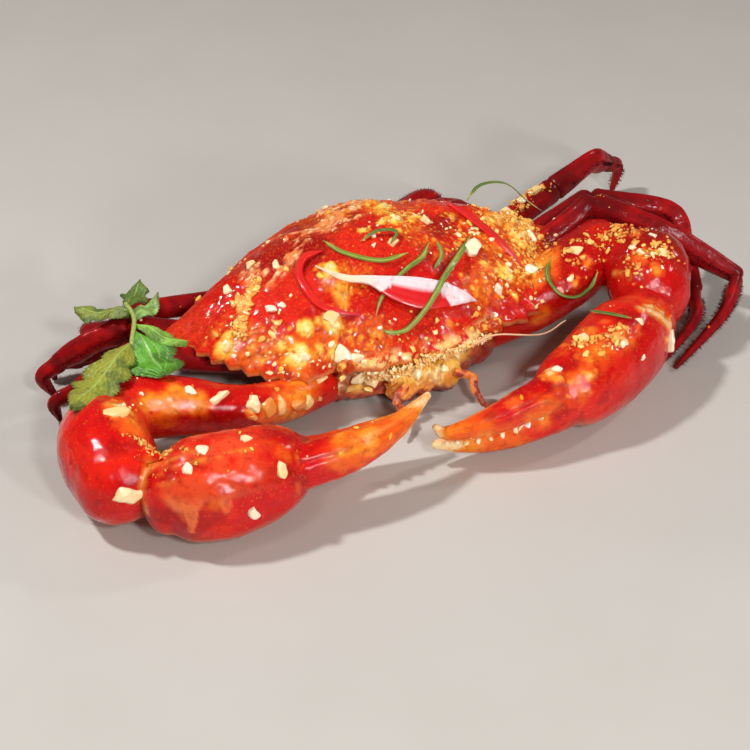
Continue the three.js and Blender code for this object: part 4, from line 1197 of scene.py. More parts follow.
def clots(points):
    """Height of the clots of sauce on the claws, and how yellow they are."""
    height = np.zeros(points.shape[:-1])
    yellow = np.zeros(points.shape[:-1])
    for x, y, z, radius, rise, cream in CLOTS:
        wobble = 1 + 0.5 * noise(points, radius * 0.6, 45) + 0.3 * noise(points, radius * 0.25, 46)
        gap = np.linalg.norm(points - np.array([x, y, z]), axis=-1) * wobble / radius
        height = np.maximum(height, 0.8 * rise * np.exp(-1.3 * gap ** 2))
        yellow = np.maximum(yellow, cream * np.exp(-gap ** 2 * 1.5))
    return height, yellow


def claw_sauce(grid, tint, *_):
    """Relief and colour of the clots, the ridges and the joint skin of the claws."""
    height, yellow = clots(grid)
    tint = mix(tint, rgb("EA5A1E"), smooth(yellow, 0.1, 0.35))
    tint = mix(tint, AMBER, 0.9 * smooth(yellow, 0.35, 0.6))
    tint = mix(tint, rgb("F9E2A4"), 0.95 * smooth(yellow, 0.6, 0.9))
    for width, rise, gold, *path in RIDGES:
        ridge = near_path(grid, path, width)
        height = height + rise * ridge
        tint = mix(tint, GOLD, gold * ridge * smooth(noise(grid, 2, 40), -0.5, 0.3))
    for width, strength, *path in JOINT_SKIN:
        skin = strength * near_path(grid, path, width) * (1 + 0.6 * noise(grid, 2.5, 43))
        height = height + 0.4 * skin
        tint = mix(tint, rgb("D8742A"), 0.9 * smooth(skin, 0.1, 0.5))
        tint = mix(tint, rgb("F0C88A"), 0.8 * smooth(skin, 0.6, 1))
    return height, tint


def finger_sauce(grid, tint, along, angle):
    """As on the rest of the claw, with two grooves, pale edges and a pale tip."""
    grooves = np.exp(-((angle - 0.7) / 0.14) ** 2) + np.exp(-((angle - 2.4) / 0.14) ** 2)
    height, tint = claw_sauce(grid, tint)
    edges = np.exp(-((angle - 1.1) / 0.16) ** 2) + np.exp(-((angle - 5.2) / 0.2) ** 2)
    # Pale orange along two edges; along the upper one it is a painted highlight.
    tint = mix(tint, rgb("F4A860"), 0.7 * edges * smooth(along, 0.25, 0.5))
    return height - 0.6 * grooves, pale_tip(grid, tint, along, 0.3, 1)


def palm_sauce(grid, tint, along, *_):
    """As on the rest of the claw, with a film of sauce and a pale tip on the fixed finger."""
    cover = film(grid)
    tint = mix(tint, SAUCE_FILM, 0.6 * cover * smooth(fractal(grid, 6, 39), -0.6, 0.3))
    low = cover * smooth(FILM_EDGE + 3 - grid[..., 2], 0, 5)
    tint = mix(tint, rgb("EE7A40"), 0.75 * low)
    height, tint = claw_sauce(grid, tint)
    return height + 0.4 * cover, pale_tip(grid, tint, along, 0.6, 1)


def claws():
    """Both claws of four pieces, and the spine of the left wrist."""
    sauces = {"arm": claw_sauce, "wrist": claw_sauce, "palm": palm_sauce, "finger": finger_sauce}
    for side, pieces in CLAWS.items():
        for piece, stations in pieces.items():
            name = f"claw_{side}_{piece}"
            cap = (0.9, 0.9) if piece == "wrist" else (0.7, 0.9)
            limb_piece(name, stations, "claw", shape=sauces[piece], sides=144, step=0.7, cap=cap)
    limb_piece("claw_left_spine", WRIST_SPINE, "claw", bumps=0.1, step=0.4)


def claw_teeth(rng):
    """Blunt pale teeth on the facing edges of the two fingers of each claw."""
    rows = []
    for side in CLAWS:
        fixed = spline(CLAWS[side]["palm"][4:], np.linspace(0.08, 0.9, TEETH_IN_FINGER))
        moving = spline(CLAWS[side]["finger"], np.linspace(0.12, 0.9, TEETH_IN_FINGER))
        way = unit(moving[:, :3] - fixed[:, :3])
        for finger, facing_way in ((fixed, way), (moving, -way)):
            facing_way = unit(facing_way + TEETH_TURN)
            depth = finger[:, 3:].mean(1)
            spots = finger[:, :3] + facing_way * (depth * 0.93)[:, None]
            rows.append(np.hstack([spots, facing_way, depth[:, None]]))
    rows = np.vstack(rows)
    sizes = np.clip(rows[:, 6] * 0.6, 1, 2.8) * rng.uniform(0.8, 1.2, len(rows))
    colours = mixture(rng, len(rows), PALE, CREAM)
    heap(
        "claw_teeth", rows[:, :3], rows[:, 3:6], sizes, rng, GARLIC_LOOK, colours,
        flat=1, fine=3, sharp=4, sink=0.5, low=CREAM,
    )


def between(a, b, t):
    """The point at `t` of the way from `a` to `b`."""
    return [value + (other - value) * t for value, other in zip(a, b)]


def leg_shape(_, tint, along, angle):
    """Two lengthwise ridges with a groove between them, darker at the ends, painted shade in the
    grooves.
    """
    ridges = 0.45 * np.cos(2 * angle + 0.5) + 0.35 * np.cos(4 * angle)
    inner = smooth(along, 0.05, 0.2) * (1 - smooth(along, 0.85, 1))
    # Maroon at the ends, and painted shade where the ridges sink.
    tint = mix(tint, MAROON, 0.5 * (1 - inner) + 0.25 * smooth(-ridges, 0, 0.6))
    return ridges * inner, tint


def bristles(name, spots, ways, rng):
    """Short stiff hairs, each a thin three-sided spike."""
    count = len(spots)
    turn = facing(ways, rng.uniform(0, 2 * math.pi, count))
    corners = np.arange(3) * 2 * math.pi / 3
    foot = BRISTLE_WIDTH / 2 * np.stack([np.cos(corners), np.sin(corners), np.full(3, -1.0)], 1)
    lean = rng.uniform(-0.3, 0.3, (count, 2))
    length = rng.uniform(*BRISTLE_LENGTH, count)[:, None]
    tip = np.hstack([lean, np.ones((count, 1))]) * length
    local = np.concatenate([np.broadcast_to(foot, (count, 3, 3)), tip[:, None]], axis=1)
    points = above_floor(spots[:, None] + np.einsum("nij,nvj->nvi", turn, local))
    spike = np.array([[0, 1, 3], [1, 2, 3], [2, 0, 3], [0, 2, 1]])
    faces = (spike[None] + (np.arange(count) * 4)[:, None, None]).reshape(-1, 3)
    tint = np.broadcast_to(rgb("3A0D0A"), (count * 4, 3))
    piece = mesh_object(name, points.reshape(-1, 3), faces, LIMB_LOOKS["leg"], tint)


def leg_stations(joints, half):
    """Stations of the thigh, the shin and the bowed tip of one leg."""
    hip, knee, wrist, ankle, tip = joints
    reach = math.hypot(ankle[0], ankle[1])
    bow = [TIP_BOW * ankle[0] / reach, TIP_BOW * ankle[1] / reach, TIP_BOW / 2]
    bowed = [value + push for value, push in zip(between(ankle, tip, 0.5), bow)]
    slim = [value * 0.8 for value in half["ankle"]]
    return {
        "thigh": [
            [*hip, *half["knee"]], [*between(hip, knee, 0.5), *half["thigh"]],
            [*between(hip, knee, 0.97), *half["knee"]],
        ],
        "shin": [
            [*between(knee, wrist, 0.1), *half["knee"]], [*wrist, *half["blade"]],
            [*between(wrist, ankle, 0.55), *half["blade"]],
            [*between(wrist, ankle, 0.95), *half["ankle"]],
        ],
        "tip": [
            [*between(ankle, tip, 0.05), *half["ankle"]], [*bowed, *slim], [*tip, *half["tip"]],
        ],
    }


def legs():
    """Eight legs of three pieces, with bristles along the shins and the tips."""
    rng = np.random.default_rng(7)
    haired = slice(12, -10)    # rings clear of the rounded ends
    spots, ways = [], []
    for name, joints in LEGS.items():
        half = PADDLE_HALF if name.endswith("4") else LEG_HALF
        for piece, stations in leg_stations(joints, half).items():
            grid, normals = limb_piece(
                f"leg_{name}_{piece}", stations, "leg", bumps=0.2, shape=leg_shape,
                sides=LEG_SIDES, step=0.8,
            )
            if piece == "thigh":
                continue
            for side in BRISTLE_SIDES:
                roots = grid[haired, side]
                for _ in range(BRISTLES_IN_RING):
                    spots.append(roots + rng.uniform(-0.4, 0.4, roots.shape))
                    ways.append(normals[haired, side])
    bristles("leg_bristles", np.vstack(spots), np.vstack(ways), rng)


# ------------------------------------------------------------------- the body


def body_rings():
    """Rings of a squarish body: its top, its sides, and its belly finely enough for grooves."""
    turn = np.arange(BODY_SIDES) / BODY_SIDES * 2 * math.pi
    x, y = oval(turn, 0.75)
    outline = np.stack([BODY_HALF_WIDTH * x, BODY_HALF_LENGTH * y], 1)
    levels = [[BODY_HEIGHT, part] for part in BODY_TOP] + BODY_LEVELS
    foot = BODY_LEVELS[-1][1]
    levels += [[0, foot * part] for part in np.linspace(0.98, 0.01, BELLY_RINGS)]
    rings = [np.column_stack([outline * part, np.full(BODY_SIDES, z)]) for z, part in levels]
    return np.array(rings)


def belly_grooves(x, y):
    """How deep the grooves are between the plates of the belly, and round and across its flap."""
    flap = np.clip(14 - 0.42 * (20 - y), 2.5, 14)
    beside = np.abs(x) > flap
    slanted = (y + 0.25 * np.abs(x)) % BELLY_PLATE - BELLY_PLATE / 2
    plates = np.exp(-(slanted / 0.8) ** 2) * smooth(np.abs(x), 6, 9)
    rim = np.exp(-((np.abs(x) - flap) / 0.7) ** 2) * (y < 26)
    bands = np.exp(-((y % FLAP_BAND - FLAP_BAND / 2) / 0.5) ** 2) * (np.abs(x) < flap)
    middle = np.exp(-(x / 0.7) ** 2) * (y < -16)
    return np.clip(1.1 * plates * beside + 1.2 * rim + 0.6 * bands + 0.4 * middle, 0, 1.3)


def body_piece():
    """The body under the shell, pale orange, redder towards the shell."""
    grid = body_rings()
    grooves = belly_grooves(grid[..., 0], grid[..., 1])
    grooves[:-BELLY_RINGS - 1] = 0
    grid[..., 2] += grooves
    tint = plain(rgb("E0A062"), grid)
    tint = mix(tint, ORANGE, 0.7 * smooth(fractal(grid, 12, 51), -0.1, 0.5))
    tint = mix(tint, DEEP_RED, 0.6 * np.clip(grooves, 0, 1))
    tint = mix(tint, RED, 0.6 * smooth(grid[..., 2], 4, 10))
    grid_object("body_dressed", grid, tint, FLESH_LOOK, ["body"])


def face_piece():
    """The folded front of the body: garlic and gold under the brow, rusty skin round that."""
    grid, _, _ = loft(FACE, sides=160, step=0.4)
    folds = fractal(grid * [0.8, 1, 1], 4.5, 52)
    dome, number = cells(grid, 4.2, 53)
    ripe = dome * smooth(number, 0.35, 0.6)
    grid = above_floor(raised(grid, 1.1 * folds + 1.1 * ripe))
    up = grid[..., 2]
    tint = plain(rgb("D0501A"), grid)
    tint = mix(tint, rgb("F09A3A"), smooth(folds, -0.2, 0.3))
    tint = mix(tint, rgb("FDC552"), smooth(up + 5 * folds, 6, 11))
    tint = mix(tint, rgb("FFE9A6"), smooth(ripe + 0.2 * folds, 0.15, 0.5) * smooth(up, 6, 11))
    # Painted shade: darker in the hollows of the folds.
    tint = mix(tint, rgb("A83A18"), 0.8 * smooth(-folds, 0.15, 0.5))
    tint = mix(tint, rgb("B8401A"), 0.8 * smooth(6 * folds - up, -8, -4))
    tint = mix(tint, rgb("A42010"), 0.9 * smooth(grid[..., 0] + 6 * folds, 17, 23))
    tint = mix(tint, MAROON, 0.7 * smooth(-up, -4, -1))
    grid_object("face_dressed", grid, tint, FLESH_LOOK, [])


def flap_piece(name, stations, nodes):
    """A swollen mouth flap, its cream top a painted highlight, gold in the middle, its brown
    creases painted shade.
    """
    grid, _, _ = loft(stations, sides=144, step=0.2)
    folds = fractal(grid * [1, 0.8, 0.7], 4, 61)
    shaded_crease = 1 - smooth(np.abs(fractal(grid * [1, 0.8, 0.6], 8, 62, 3)), 0, 0.12)
    grid = above_floor(raised(grid, 1.1 * folds - 0.5 * shaded_crease))
    up = smooth(grid[..., 2] + 2.5 * folds, 3, 15)
    tint = plain(rgb("B8481A"), grid)
    tint = mix(tint, rgb("EC922E"), smooth(up, 0.1, 0.45))
    tint = mix(tint, rgb("FAC048"), smooth(up + 0.3 * folds, 0.4, 0.8))
    # Painted highlight: cream on the top and on the raised folds.
    tint = mix(tint, rgb("FFE09A"), 0.9 * smooth(up + 0.8 * folds, 0.85, 1.2))
    # Painted shade: brown in the creases.
    tint = mix(tint, rgb("C4561C"), 0.5 * shaded_crease)
    tint = mix(tint, rgb("8A1E10"), 0.8 * smooth(3 * folds - grid[..., 2], -6.5, -3))
    grid_object(f"{name}_dressed", grid, tint, FLESH_LOOK, nodes)


def slimmed(stations, wide, high):
    """Stations with their half widths and half heights scaled."""
    return [[x, y, z, half * wide, rise * high] for x, y, z, half, rise in stations]


def palp_piece(name, sign):
    """A thin jointed feeler, brown, sunk in rings at its joints."""
    stations = [[sign * x, *rest] for x, *rest in slimmed(PALP, PALP_SLIM, PALP_SLIM)]
    grid, along, _ = loft(stations, sides=48, step=0.3)
    rings = np.broadcast_to(np.cos(along * PALP_JOINTS * 2 * math.pi)[:, None], grid.shape[:2])
    folds = fractal(grid, 2.5, 64)
    grid = raised(grid, 0.3 * folds - 0.25 * smooth(rings, 0.7, 1))
    tint = plain(rgb("C04A1C"), grid)
    # Painted light and shade: orange on the raised folds, dark in the sunken ones.
    tint = mix(tint, rgb("EE8A3A"), smooth(folds, 0, 0.4))
    tint = mix(tint, rgb("7A1A10"), 0.6 * smooth(-folds, 0.05, 0.4))
    grid_object(f"{name}_dressed", grid, tint, FLESH_LOOK, [name])


def antenna():
    """The one thin pale feeler that stands out."""
    grid, _, _ = loft(slimmed(ANTENNA, ANTENNA_SLIM, ANTENNA_SLIM), sides=12, step=0.6)
    tint = plain(rgb("E8B890"), grid)
    grid_object("antenna_dressed", grid, tint, FLESH_LOOK, ["antenna"])


def mouth_parts():
    """Two flaps with a fold between them, a feeler on each side, and the antenna."""
    x, y, low, high = (MOUTH[key] for key in ("x", "y", "low", "high"))
    width, depth = MOUTH["half_width"], MOUTH["half_depth"]
    for side, sign in (("left", -1), ("right", 1)):
        stations = [
            [sign * x, y + 3, low, width * 0.7, depth],
            [sign * x, y - 0.5, (low + high) / 2, width, depth],
            [sign * x, y, high, width * 0.8, depth],
        ]
        flap_piece(f"mouth_flap_{side}", stations, [f"mouth_flap_{side}"])
        palp_piece(f"mouth_palp_{side}", sign)
    flap_piece("mouth_fold", MOUTH_FOLD, [])
    antenna()


def eyes():
    """Short stalks with cooked eyes, half covered by sauce."""
    x, y, z, stalk, ball_half = (EYE[key] for key in ("x", "y", "z", "stalk", "ball"))
    for side, sign in (("left", -1), ("right", 1)):
        stations = [
            [sign * (x - 6), y + 4, z - 1.5, stalk, stalk],
            [sign * (x - 1), y, z - 0.5, stalk, stalk],
            [sign * (x + 2), y - 1.5, z, ball_half * 0.9, ball_half * 0.85],
        ]
        grid, along, _ = loft(stations, sides=48, step=0.3)
        folds = fractal(grid, 3, 64)
        grid = raised(grid, 0.6 * folds)
        eyeball = smooth(np.broadcast_to(along[:, None], grid.shape[:2]), 0.6, 0.8)
        tint = mix(plain(rgb("D8641E"), grid), AMBER, smooth(folds, 0.05, 0.3))
        tint = mix(tint, rgb("5A140A"), 0.9 * eyeball)
        tint = mix(tint, rgb("C03A10"), 0.9 * smooth(fractal(grid, 2.6, 66), -0.3, 0))
        tint = mix(tint, rgb("F8BC58"), 0.9 * smooth(fractal(grid, 1.5, 67), 0.05, 0.25))
        grid_object(f"eye_{side}_dressed", grid, tint, SHELL_LOOK, [f"eye_{side}"])


# ------------------------------------------------------------------ garnishes


def pointed(t):
    """Width along a shred, from its cut ends to its full width."""
    return 0.3 + 0.7 * smooth(np.minimum(t, 1 - t), 0, 0.14)


def chilli_tint(name, points, along, across):
    """Bright red. The broad strip shows its pale pith in the middle of its length."""
    tint = plain(CHILLI, points)
    tint = mix(tint, BRIGHT_RED, 0.6 * smooth(fractal(points, 6, 72), 0, 0.5))
    if name != BROAD_CHILLI:
        return tint
    ends = smooth(along, 0.66, 0.8) + (1 - smooth(along, 0.3, 0.42))
    pith = smooth(-across + 2 * ends + 0.06 * noise(points, 4, 73), 0.05, 0.14)
    tint = mix(tint, PITH, pith)
    return mix(tint, rgb("F6D9A0"), 0.7 * (1 - smooth(along, 0.15, 0.4)))


def onion_tint(points, along, across, fibre):
    """Green with dark fibres and edges, yellow at the cut ends."""
    tint = plain(LEAF, points)
    tint = mix(tint, rgb("A2AE3A"), 0.8 * smooth(noise(points, 11, 74), -0.1, 0.4))
    tint = mix(tint, LEAF_DARK, 0.65 * smooth(-fibre, -0.35, -0.1))
    tint = mix(tint, LEAF_DARK, 0.85 * smooth(np.abs(across), 0.8, 0.98))
    ends = np.abs(along - 0.5) + 0.1 * noise(points, 5, 75)
    return mix(tint, rgb("D6C04A"), 0.75 * smooth(ends, 0.36, 0.48))


def shred_piece(name, stations, up_at=None):
    """A flat strip of chilli or spring onion, with fibres along it."""
    chilli = name.startswith("chilli")
    stations = slimmed(stations, *(CHILLI_SLIM if chilli else SCALLION_SLIM))
    grid, along, angle = loft(stations, sides=48, step=0.4, power=4, up_at=up_at, taper=pointed)
    along = np.broadcast_to(along[:, None], grid.shape[:2])
    across = np.sign(np.cos(angle)) * np.sqrt(np.abs(np.cos(angle)))
    across = np.broadcast_to(across[None, :], grid.shape[:2])
    fibre = 0.5 + 0.5 * np.sin(across * 20 + 1.2 * noise(grid, 4, 71))
    if chilli:
        tint = chilli_tint(name, grid, along, across)
        look, slot = CHILLI_LOOK, "chilli"
    else:
        tint = onion_tint(grid, along, across, fibre)
        look, slot = SCALLION_LOOK, "spring_onion"
    grid_object(f"{name}_dressed", grid, tint, look, [name], {"fibre": fibre})


def shreds():
    """The chilli and the spring onion, lying on the shell or free."""
    for name, path in SHELL_SHREDS.items():
        stations = [[x, y, shell_height(x, y) + lift, w, h] for x, y, lift, w, h in path]
        shred_piece(name, stations, shell_normal)
    for name, stations in LOOSE_SHREDS.items():
        shred_piece(name, stations)


def leaf_half_width(u, lobes, fan):
    """How broad a leaf is along it, in outline alone and with its round lobes and fine teeth."""
    outline = np.sin(math.pi * u ** (0.75 + 0.9 * fan)).clip(0) ** (0.75 - 0.25 * fan)
    lobe = 0.62 + 0.44 * np.abs(np.sin(math.pi * (lobes * u + 0.15))) ** 0.8
    saw = (u * lobes * LEAF_TEETH) % 1
    return outline, 0.05 + outline * (lobe + 0.2 * saw)


def leaf_veins(u, v, lobes, fan):
    """1 on the veins: one in the middle, and side veins that fan out or branch off."""
    ribs = np.exp(-(((np.abs(v) * 3) % 1) / 0.12) ** 2) * fan
    branches = ((u - 0.3 * np.abs(v)) * lobes * 3) % 1 - 0.5
    pinnate = np.exp(-(branches / 0.1) ** 2) * (1 - fan)
    return np.clip(np.exp(-(v / 0.05) ** 2) + 0.8 * ribs + 0.7 * pinnate, 0, 1) * np.ones_like(u)


def leaf_faces():
    """Triangles of the upper and the lower sheet of a leaf, and of the band round its rim."""
    below = LEAF_ROWS * LEAF_COLUMNS
    index = np.arange(below).reshape(LEAF_ROWS, LEAF_COLUMNS)
    a, b = index[:-1, :-1].ravel(), index[:-1, 1:].ravel()
    c, d = index[1:, 1:].ravel(), index[1:, :-1].ravel()
    faces = [np.stack([a, b, c], 1), np.stack([a, c, d], 1)]
    faces += [np.stack([a, c, b], 1) + below, np.stack([a, d, c], 1) + below]
    loop = np.concatenate([index[0], index[1:, -1], index[-1, -2::-1], index[-2:0:-1, 0]])
    after = np.roll(loop, -1)
    faces.append(np.stack([loop, loop + below, after + below], 1))
    faces.append(np.stack([loop, after + below, after], 1))
    return np.vstack(faces)


def leaf_points(base, tip, half_width, lobes, fan):
    """A thin wavy leaf with sunken veins, widest near its end where it is a fan.

    Returns its points, and how much each is on a vein and on the rim.
    """
    base = np.array(base, float)
    along = np.array(tip, float) - base
    across = unit(np.cross(along, [0, 0, 1]))
    up = unit(np.cross(across, along))
    u = np.linspace(0, 1, LEAF_ROWS)[:, None]
    v = np.linspace(-1, 1, LEAF_COLUMNS)[None, :]
    side = np.abs(v)
    outline, half = leaf_half_width(u, lobes, fan)
    lean = np.clip(u + 0.14 * side * outline * (1 - u), 0, 1.05)
    end_teeth = (0.05 + 0.06 * fan) * np.abs(((v * 5) % 1) - 0.5) * smooth(u, 0.8, 1)
    vein = leaf_veins(u, v, lobes, fan)
    wave = LEAF_WAVE * np.sin(2.5 * math.pi * u + v) + 0.5 * np.sin(13 * u + 6 * v) * side
    lift = wave - LEAF_DROOP * side ** 1.5
    middle = base + (lean + end_teeth)[..., None] * along
    middle = middle + (half_width * v * half)[..., None] * across + lift[..., None] * up
    thick = LEAF_THICKNESS / 2 * (1 - 0.7 * side ** 4) * np.ones_like(u)
    top = middle + (thick - 0.25 * vein)[..., None] * up
    under = middle - thick[..., None] * up
    rim = np.broadcast_to(side ** 8, vein.shape)
    points = np.vstack([top.reshape(-1, 3), under.reshape(-1, 3)])
    veins = np.concatenate([vein.ravel(), 0.4 * vein.ravel()])
    return points, veins, np.concatenate([rim.ravel(), rim.ravel()])


def coriander():
    """The sprig: six leaflets, each in a green of its own, on one stem."""
    stem, _, _ = loft(CORIANDER_STEM, sides=16, step=0.5)
    points, faces, tints = [], [], []
    for *form, colour in LEAFLETS:
        spots, vein, rim = leaf_points(*form)
        tint = mix(plain(LEAF, spots), rgb(colour), np.full(len(spots), 0.8))
        tint = mix(tint, LEAF_DARK, 0.6 * smooth(fractal(spots, 5, 81), -0.1, 0.5))
        tint = mix(tint, LEAF_PALE, 0.5 * vein)
        tints.append(mix(tint, LEAF_DARK, 0.6 * rim))
        faces.append(leaf_faces() + len(points) * len(spots))
        points.append(spots)
    stem_points, stem_faces = closed(stem)
    faces.append(stem_faces + sum(len(spots) for spots in points))
    points.append(stem_points)
    tints.append(plain(rgb("A6B45A"), stem_points))
    points, faces, tints = (np.vstack(parts) for parts in (points, faces, tints))
    piece = mesh_object("coriander_dressed", points, faces, LEAF_LOOK, tints)
    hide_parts("coriander")


# ----------------------------------------------------------------- scattering


def ball(subdivisions):
    """Points and triangles of a ball of radius 1."""
    mesh = bmesh.new()
    bmesh.ops.create_icosphere(mesh, subdivisions=subdivisions, radius=1)
    points = np.array([v.co[:] for v in mesh.verts])
    faces = np.array([[v.index for v in f.verts] for f in mesh.faces])
    mesh.free()
    return points, faces


def facing(normals, spins):
    """Rotations that take +Z to each normal, with a spin about it."""
    side = unit(np.cross(normals, [0.31, 0.87, 0.38]))
    other = np.cross(normals, side)
    c, s = np.cos(spins)[:, None], np.sin(spins)[:, None]
    first = side * c + other * s
    return np.stack([first, np.cross(normals, first), normals], axis=-1)


SIDE_CUTS = 6                  # one for each side of a rough cube
ODD_CUTS = 7


def chopped(directions, rng, count, sharp):
    """Radii that turn a ball into `count` different chopped pieces."""
    sides = np.vstack([np.eye(3), -np.eye(3)])
    sides = unit(sides + rng.normal(size=(count, SIDE_CUTS, 3)) * 0.3)
    odd = unit(rng.normal(size=(count, ODD_CUTS, 3)))
    cuts = np.concatenate([sides, odd], axis=1)
    side_depth = rng.uniform(0.62, 0.9, (count, SIDE_CUTS))
    depth = np.hstack([side_depth, rng.uniform(0.7, 1.1, (count, ODD_CUTS))])
    reach = np.clip(np.einsum("vk,npk->nvp", directions, cuts), 0, None) / depth[:, None]
    return 1 / np.maximum((reach ** sharp).sum(-1) ** (1 / sharp), 0.8)


def heap(
    name, spots, normals, sizes, rng, look, colours, sharp,
    flat=0.7, fine=2, sink=0.2, low=ORANGE, slender=(0.65, 1),
):
    """Many pieces as one mesh, each in its own size, shape and colour, with `low` at its foot.

    `flat` is the height as a share of the length, `slender` the range of the width, `sink`
    how deep a piece sits, `sharp` how crisp its edges are and `fine` how many sides it has.
    """
    base, faces = ball(fine)
    count = len(spots)
    radius = chopped(base, rng, count, sharp)
    long_side = rng.uniform(0.85, 1.3, count)
    stretch = np.stack([long_side, rng.uniform(*slender, count), np.full(count, flat)], 1)
    local = base[None] * radius[..., None] * (stretch * sizes[:, None] / 2)[:, None]
    rough = noise(local / sizes[:, None, None] * 4 + spots[:, None] * 3, 1, 91)
    local = local * (1 + 0.16 * rough)[..., None]
    turns = facing(normals, rng.uniform(0, 6.28, count))
    turned = np.einsum("nij,nvj->nvi", turns, local)
    centres = spots + normals * (sizes * flat * (0.5 - sink))[:, None]
    points = (turned + centres[:, None]).reshape(-1, 3)
    faces = (faces[None] + (np.arange(count) * len(base))[:, None, None]).reshape(-1, 3)
    # Painted shade, and sauce colour: the foot and one side of each piece turn to `low`.
    depth = (-local[..., 2] / (sizes[:, None] * flat / 2)).reshape(-1)
    stained_side_and_shade = (0.35 * local[..., 0] / (sizes[:, None] / 2)).reshape(-1)
    tint = np.repeat(colours, len(base), axis=0)
    tint = mix(tint, low, 0.7 * smooth(depth + stained_side_and_shade, -0.1, 0.75))
    piece = mesh_object(name, points, faces, look, tint)


def sample(density, count, rng, names=None):
    """Points on the shell and limbs, or on those named, thickest where the density is high."""
    chosen = [surfaces[name] for name in surfaces if names is None or name in names]
    corners = np.vstack([points[faces] for points, faces in chosen])
    cross = np.cross(corners[:, 1] - corners[:, 0], corners[:, 2] - corners[:, 0])
    normals = unit(cross)
    weight = np.linalg.norm(cross, axis=1) * density(corners.mean(1), normals)
    pick = rng.choice(len(corners), count, p=weight / weight.sum())
    a, b = rng.uniform(size=(2, count, 1))
    root = np.sqrt(a)
    first, second, third = (corners[pick, k] for k in range(3))
    return first * (1 - root) + second * root * (1 - b) + third * root * b, normals[pick]


def mixture(rng, count, *colours):
    """A random blend of two of the colours for each piece."""
    colours = np.array(colours)
    first, second = rng.integers(len(colours), size=(2, count))
    share = rng.uniform(size=(count, 1)) * 0.5
    return colours[first] * (1 - share) + colours[second] * share


def along_paths(points, table):
    """How dense a topping is that lies along the paths of a table."""
    total = np.zeros(len(points))
    for width, strength, *path in table:
        total += strength * near_path(points, path, width)
    return total


def crumb_density(points, normals):
    """In clumps along the crumb paths, and closed up where a path is dense."""
    total = along_paths(points, CRUMB_PATHS)
    clumps = smooth(fractal(points, 4, 95), 0.05, 0.4) + 0.03
    clumps = np.where(total > 8, np.maximum(clumps, 0.5), clumps)
    return total * clumps * smooth(normals[:, 2], 0, 0.4)


def front_density(points, _):
    """Along the front edge of the shell and on the sauce behind it."""
    return along_paths(points, GARLIC_PATHS)


def open_density(points, normals):
    """In clumps on the shell, fewer on the claws and fewest on the legs."""
    clumps = smooth(fractal(points, 7, 96), 0, 0.45) + 0.04
    shell = (np.abs(points[:, 0]) < 76) & (points[:, 1] > -52)
    limbs = np.where(points[:, 1] < -30, 0.3, 0.04)
    return clumps * smooth(normals[:, 2], 0.1, 0.5) * np.where(shell, 1, limbs)


def lump_density(points, normals):
    """Where the sauce is thick."""
    thick = smooth(patches(points, ORANGE_PATCHES) + 0.3 * fractal(points, 8, 97), 0.2, 0.9)
    return thick * smooth(normals[:, 2], 0.1, 0.5)


def garlic_spots():
    """Place and length of each large piece of garlic, on the shell and on the limbs."""
    flat = list(BIG_GARLIC)
    for k in range(SMALL_GARLIC_COUNT):
        a, b = ((0.5 + k * step) % 1 for step in EVEN_STEPS)
        x = SMALL_GARLIC_SPREAD[0] * math.sqrt(b) * math.cos(a * 2 * math.pi)
        y = SHELL_CENTRE[1] + SMALL_GARLIC_SPREAD[1] * math.sqrt(b) * math.sin(a * 2 * math.pi)
        flat.append([x, y, SMALL_GARLIC[0] + (SMALL_GARLIC[1] - SMALL_GARLIC[0]) * ((a * 13) % 1)])
    rows = [[x, y, shell_height(x, y) + 0.1 * length, length] for x, y, length in flat]
    for pieces in LIMB_GARLIC.values():
        rows += pieces
    return np.array(rows)


def nearest_normals(spots):
    """Mean outward normal of the surfaces near each spot."""
    corners = np.vstack([points[faces] for points, faces in surfaces.values()])
    centres = corners.mean(1)
    normals = []
    for spot in spots:
        near = np.argsort(np.linalg.norm(centres - spot, axis=1))[:NEAR_TRIANGLES]
        cross = np.cross(corners[near, 1] - corners[near, 0], corners[near, 2] - corners[near, 0])
        normals.append(unit(cross.mean(0)))
    return np.array(normals)


def arm_chunks():
    """Chunks of garlic fried amber, stuck to the body end of the left arm."""
    rng = np.random.default_rng(35)
    rows = np.array(ARM_CHUNKS)
    colours = mixture(rng, len(rows), rgb("E8963A"), rgb("F6CC84"), rgb("D87A24"))
    heap(
        "arm_chunks", rows[:, :3], nearest_normals(rows[:, :3]), rows[:, 3], rng, FLESH_LOOK,
        colours, fine=4, sharp=10, sink=0.35, low=rgb("B8481A"), slender=(0.6, 0.9),
    )


def foam():
    """Small bubbles of set sauce along the lip under the brow."""
    rng = np.random.default_rng(33)
    path = spline(FOAM_PATH, rng.uniform(size=FOAM_COUNT))
    spots = path[:, :3] + rng.normal(size=(FOAM_COUNT, 3)) * path[:, 3:]
    normals = unit(rng.normal(size=(FOAM_COUNT, 3)) * 0.5 + [0, -1, 0.6])
    sizes = 0.5 + 1.8 * rng.uniform(size=FOAM_COUNT) ** 2
    colours = mixture(rng, FOAM_COUNT, rgb("FFEEBE"), rgb("FFD98A"), rgb("F9BE5E"), rgb("EE9A3C"))
    heap(
        "brow_foam", spots, normals, sizes, rng, GARLIC_LOOK, colours,
        flat=0.6, sharp=4, sink=0.5, low=rgb("E68A30"),
    )


def garlic_pieces(rng):
    """The large pieces of chopped garlic."""
    rows = garlic_spots()
    spots = rows[:, :3]
    colours = mixture(rng, len(rows), rgb("F8EACC"), rgb("F4E0B2"), rgb("F0CF8C"))
    heap(
        "garlic_pieces", spots, nearest_normals(spots), rows[:, 3] * 1.08, rng, GARLIC_LOOK,
        colours, flat=0.62, fine=4, sharp=12, sink=0.42, low=rgb("EAA63C"),
        slender=(0.55, 0.95),
    )


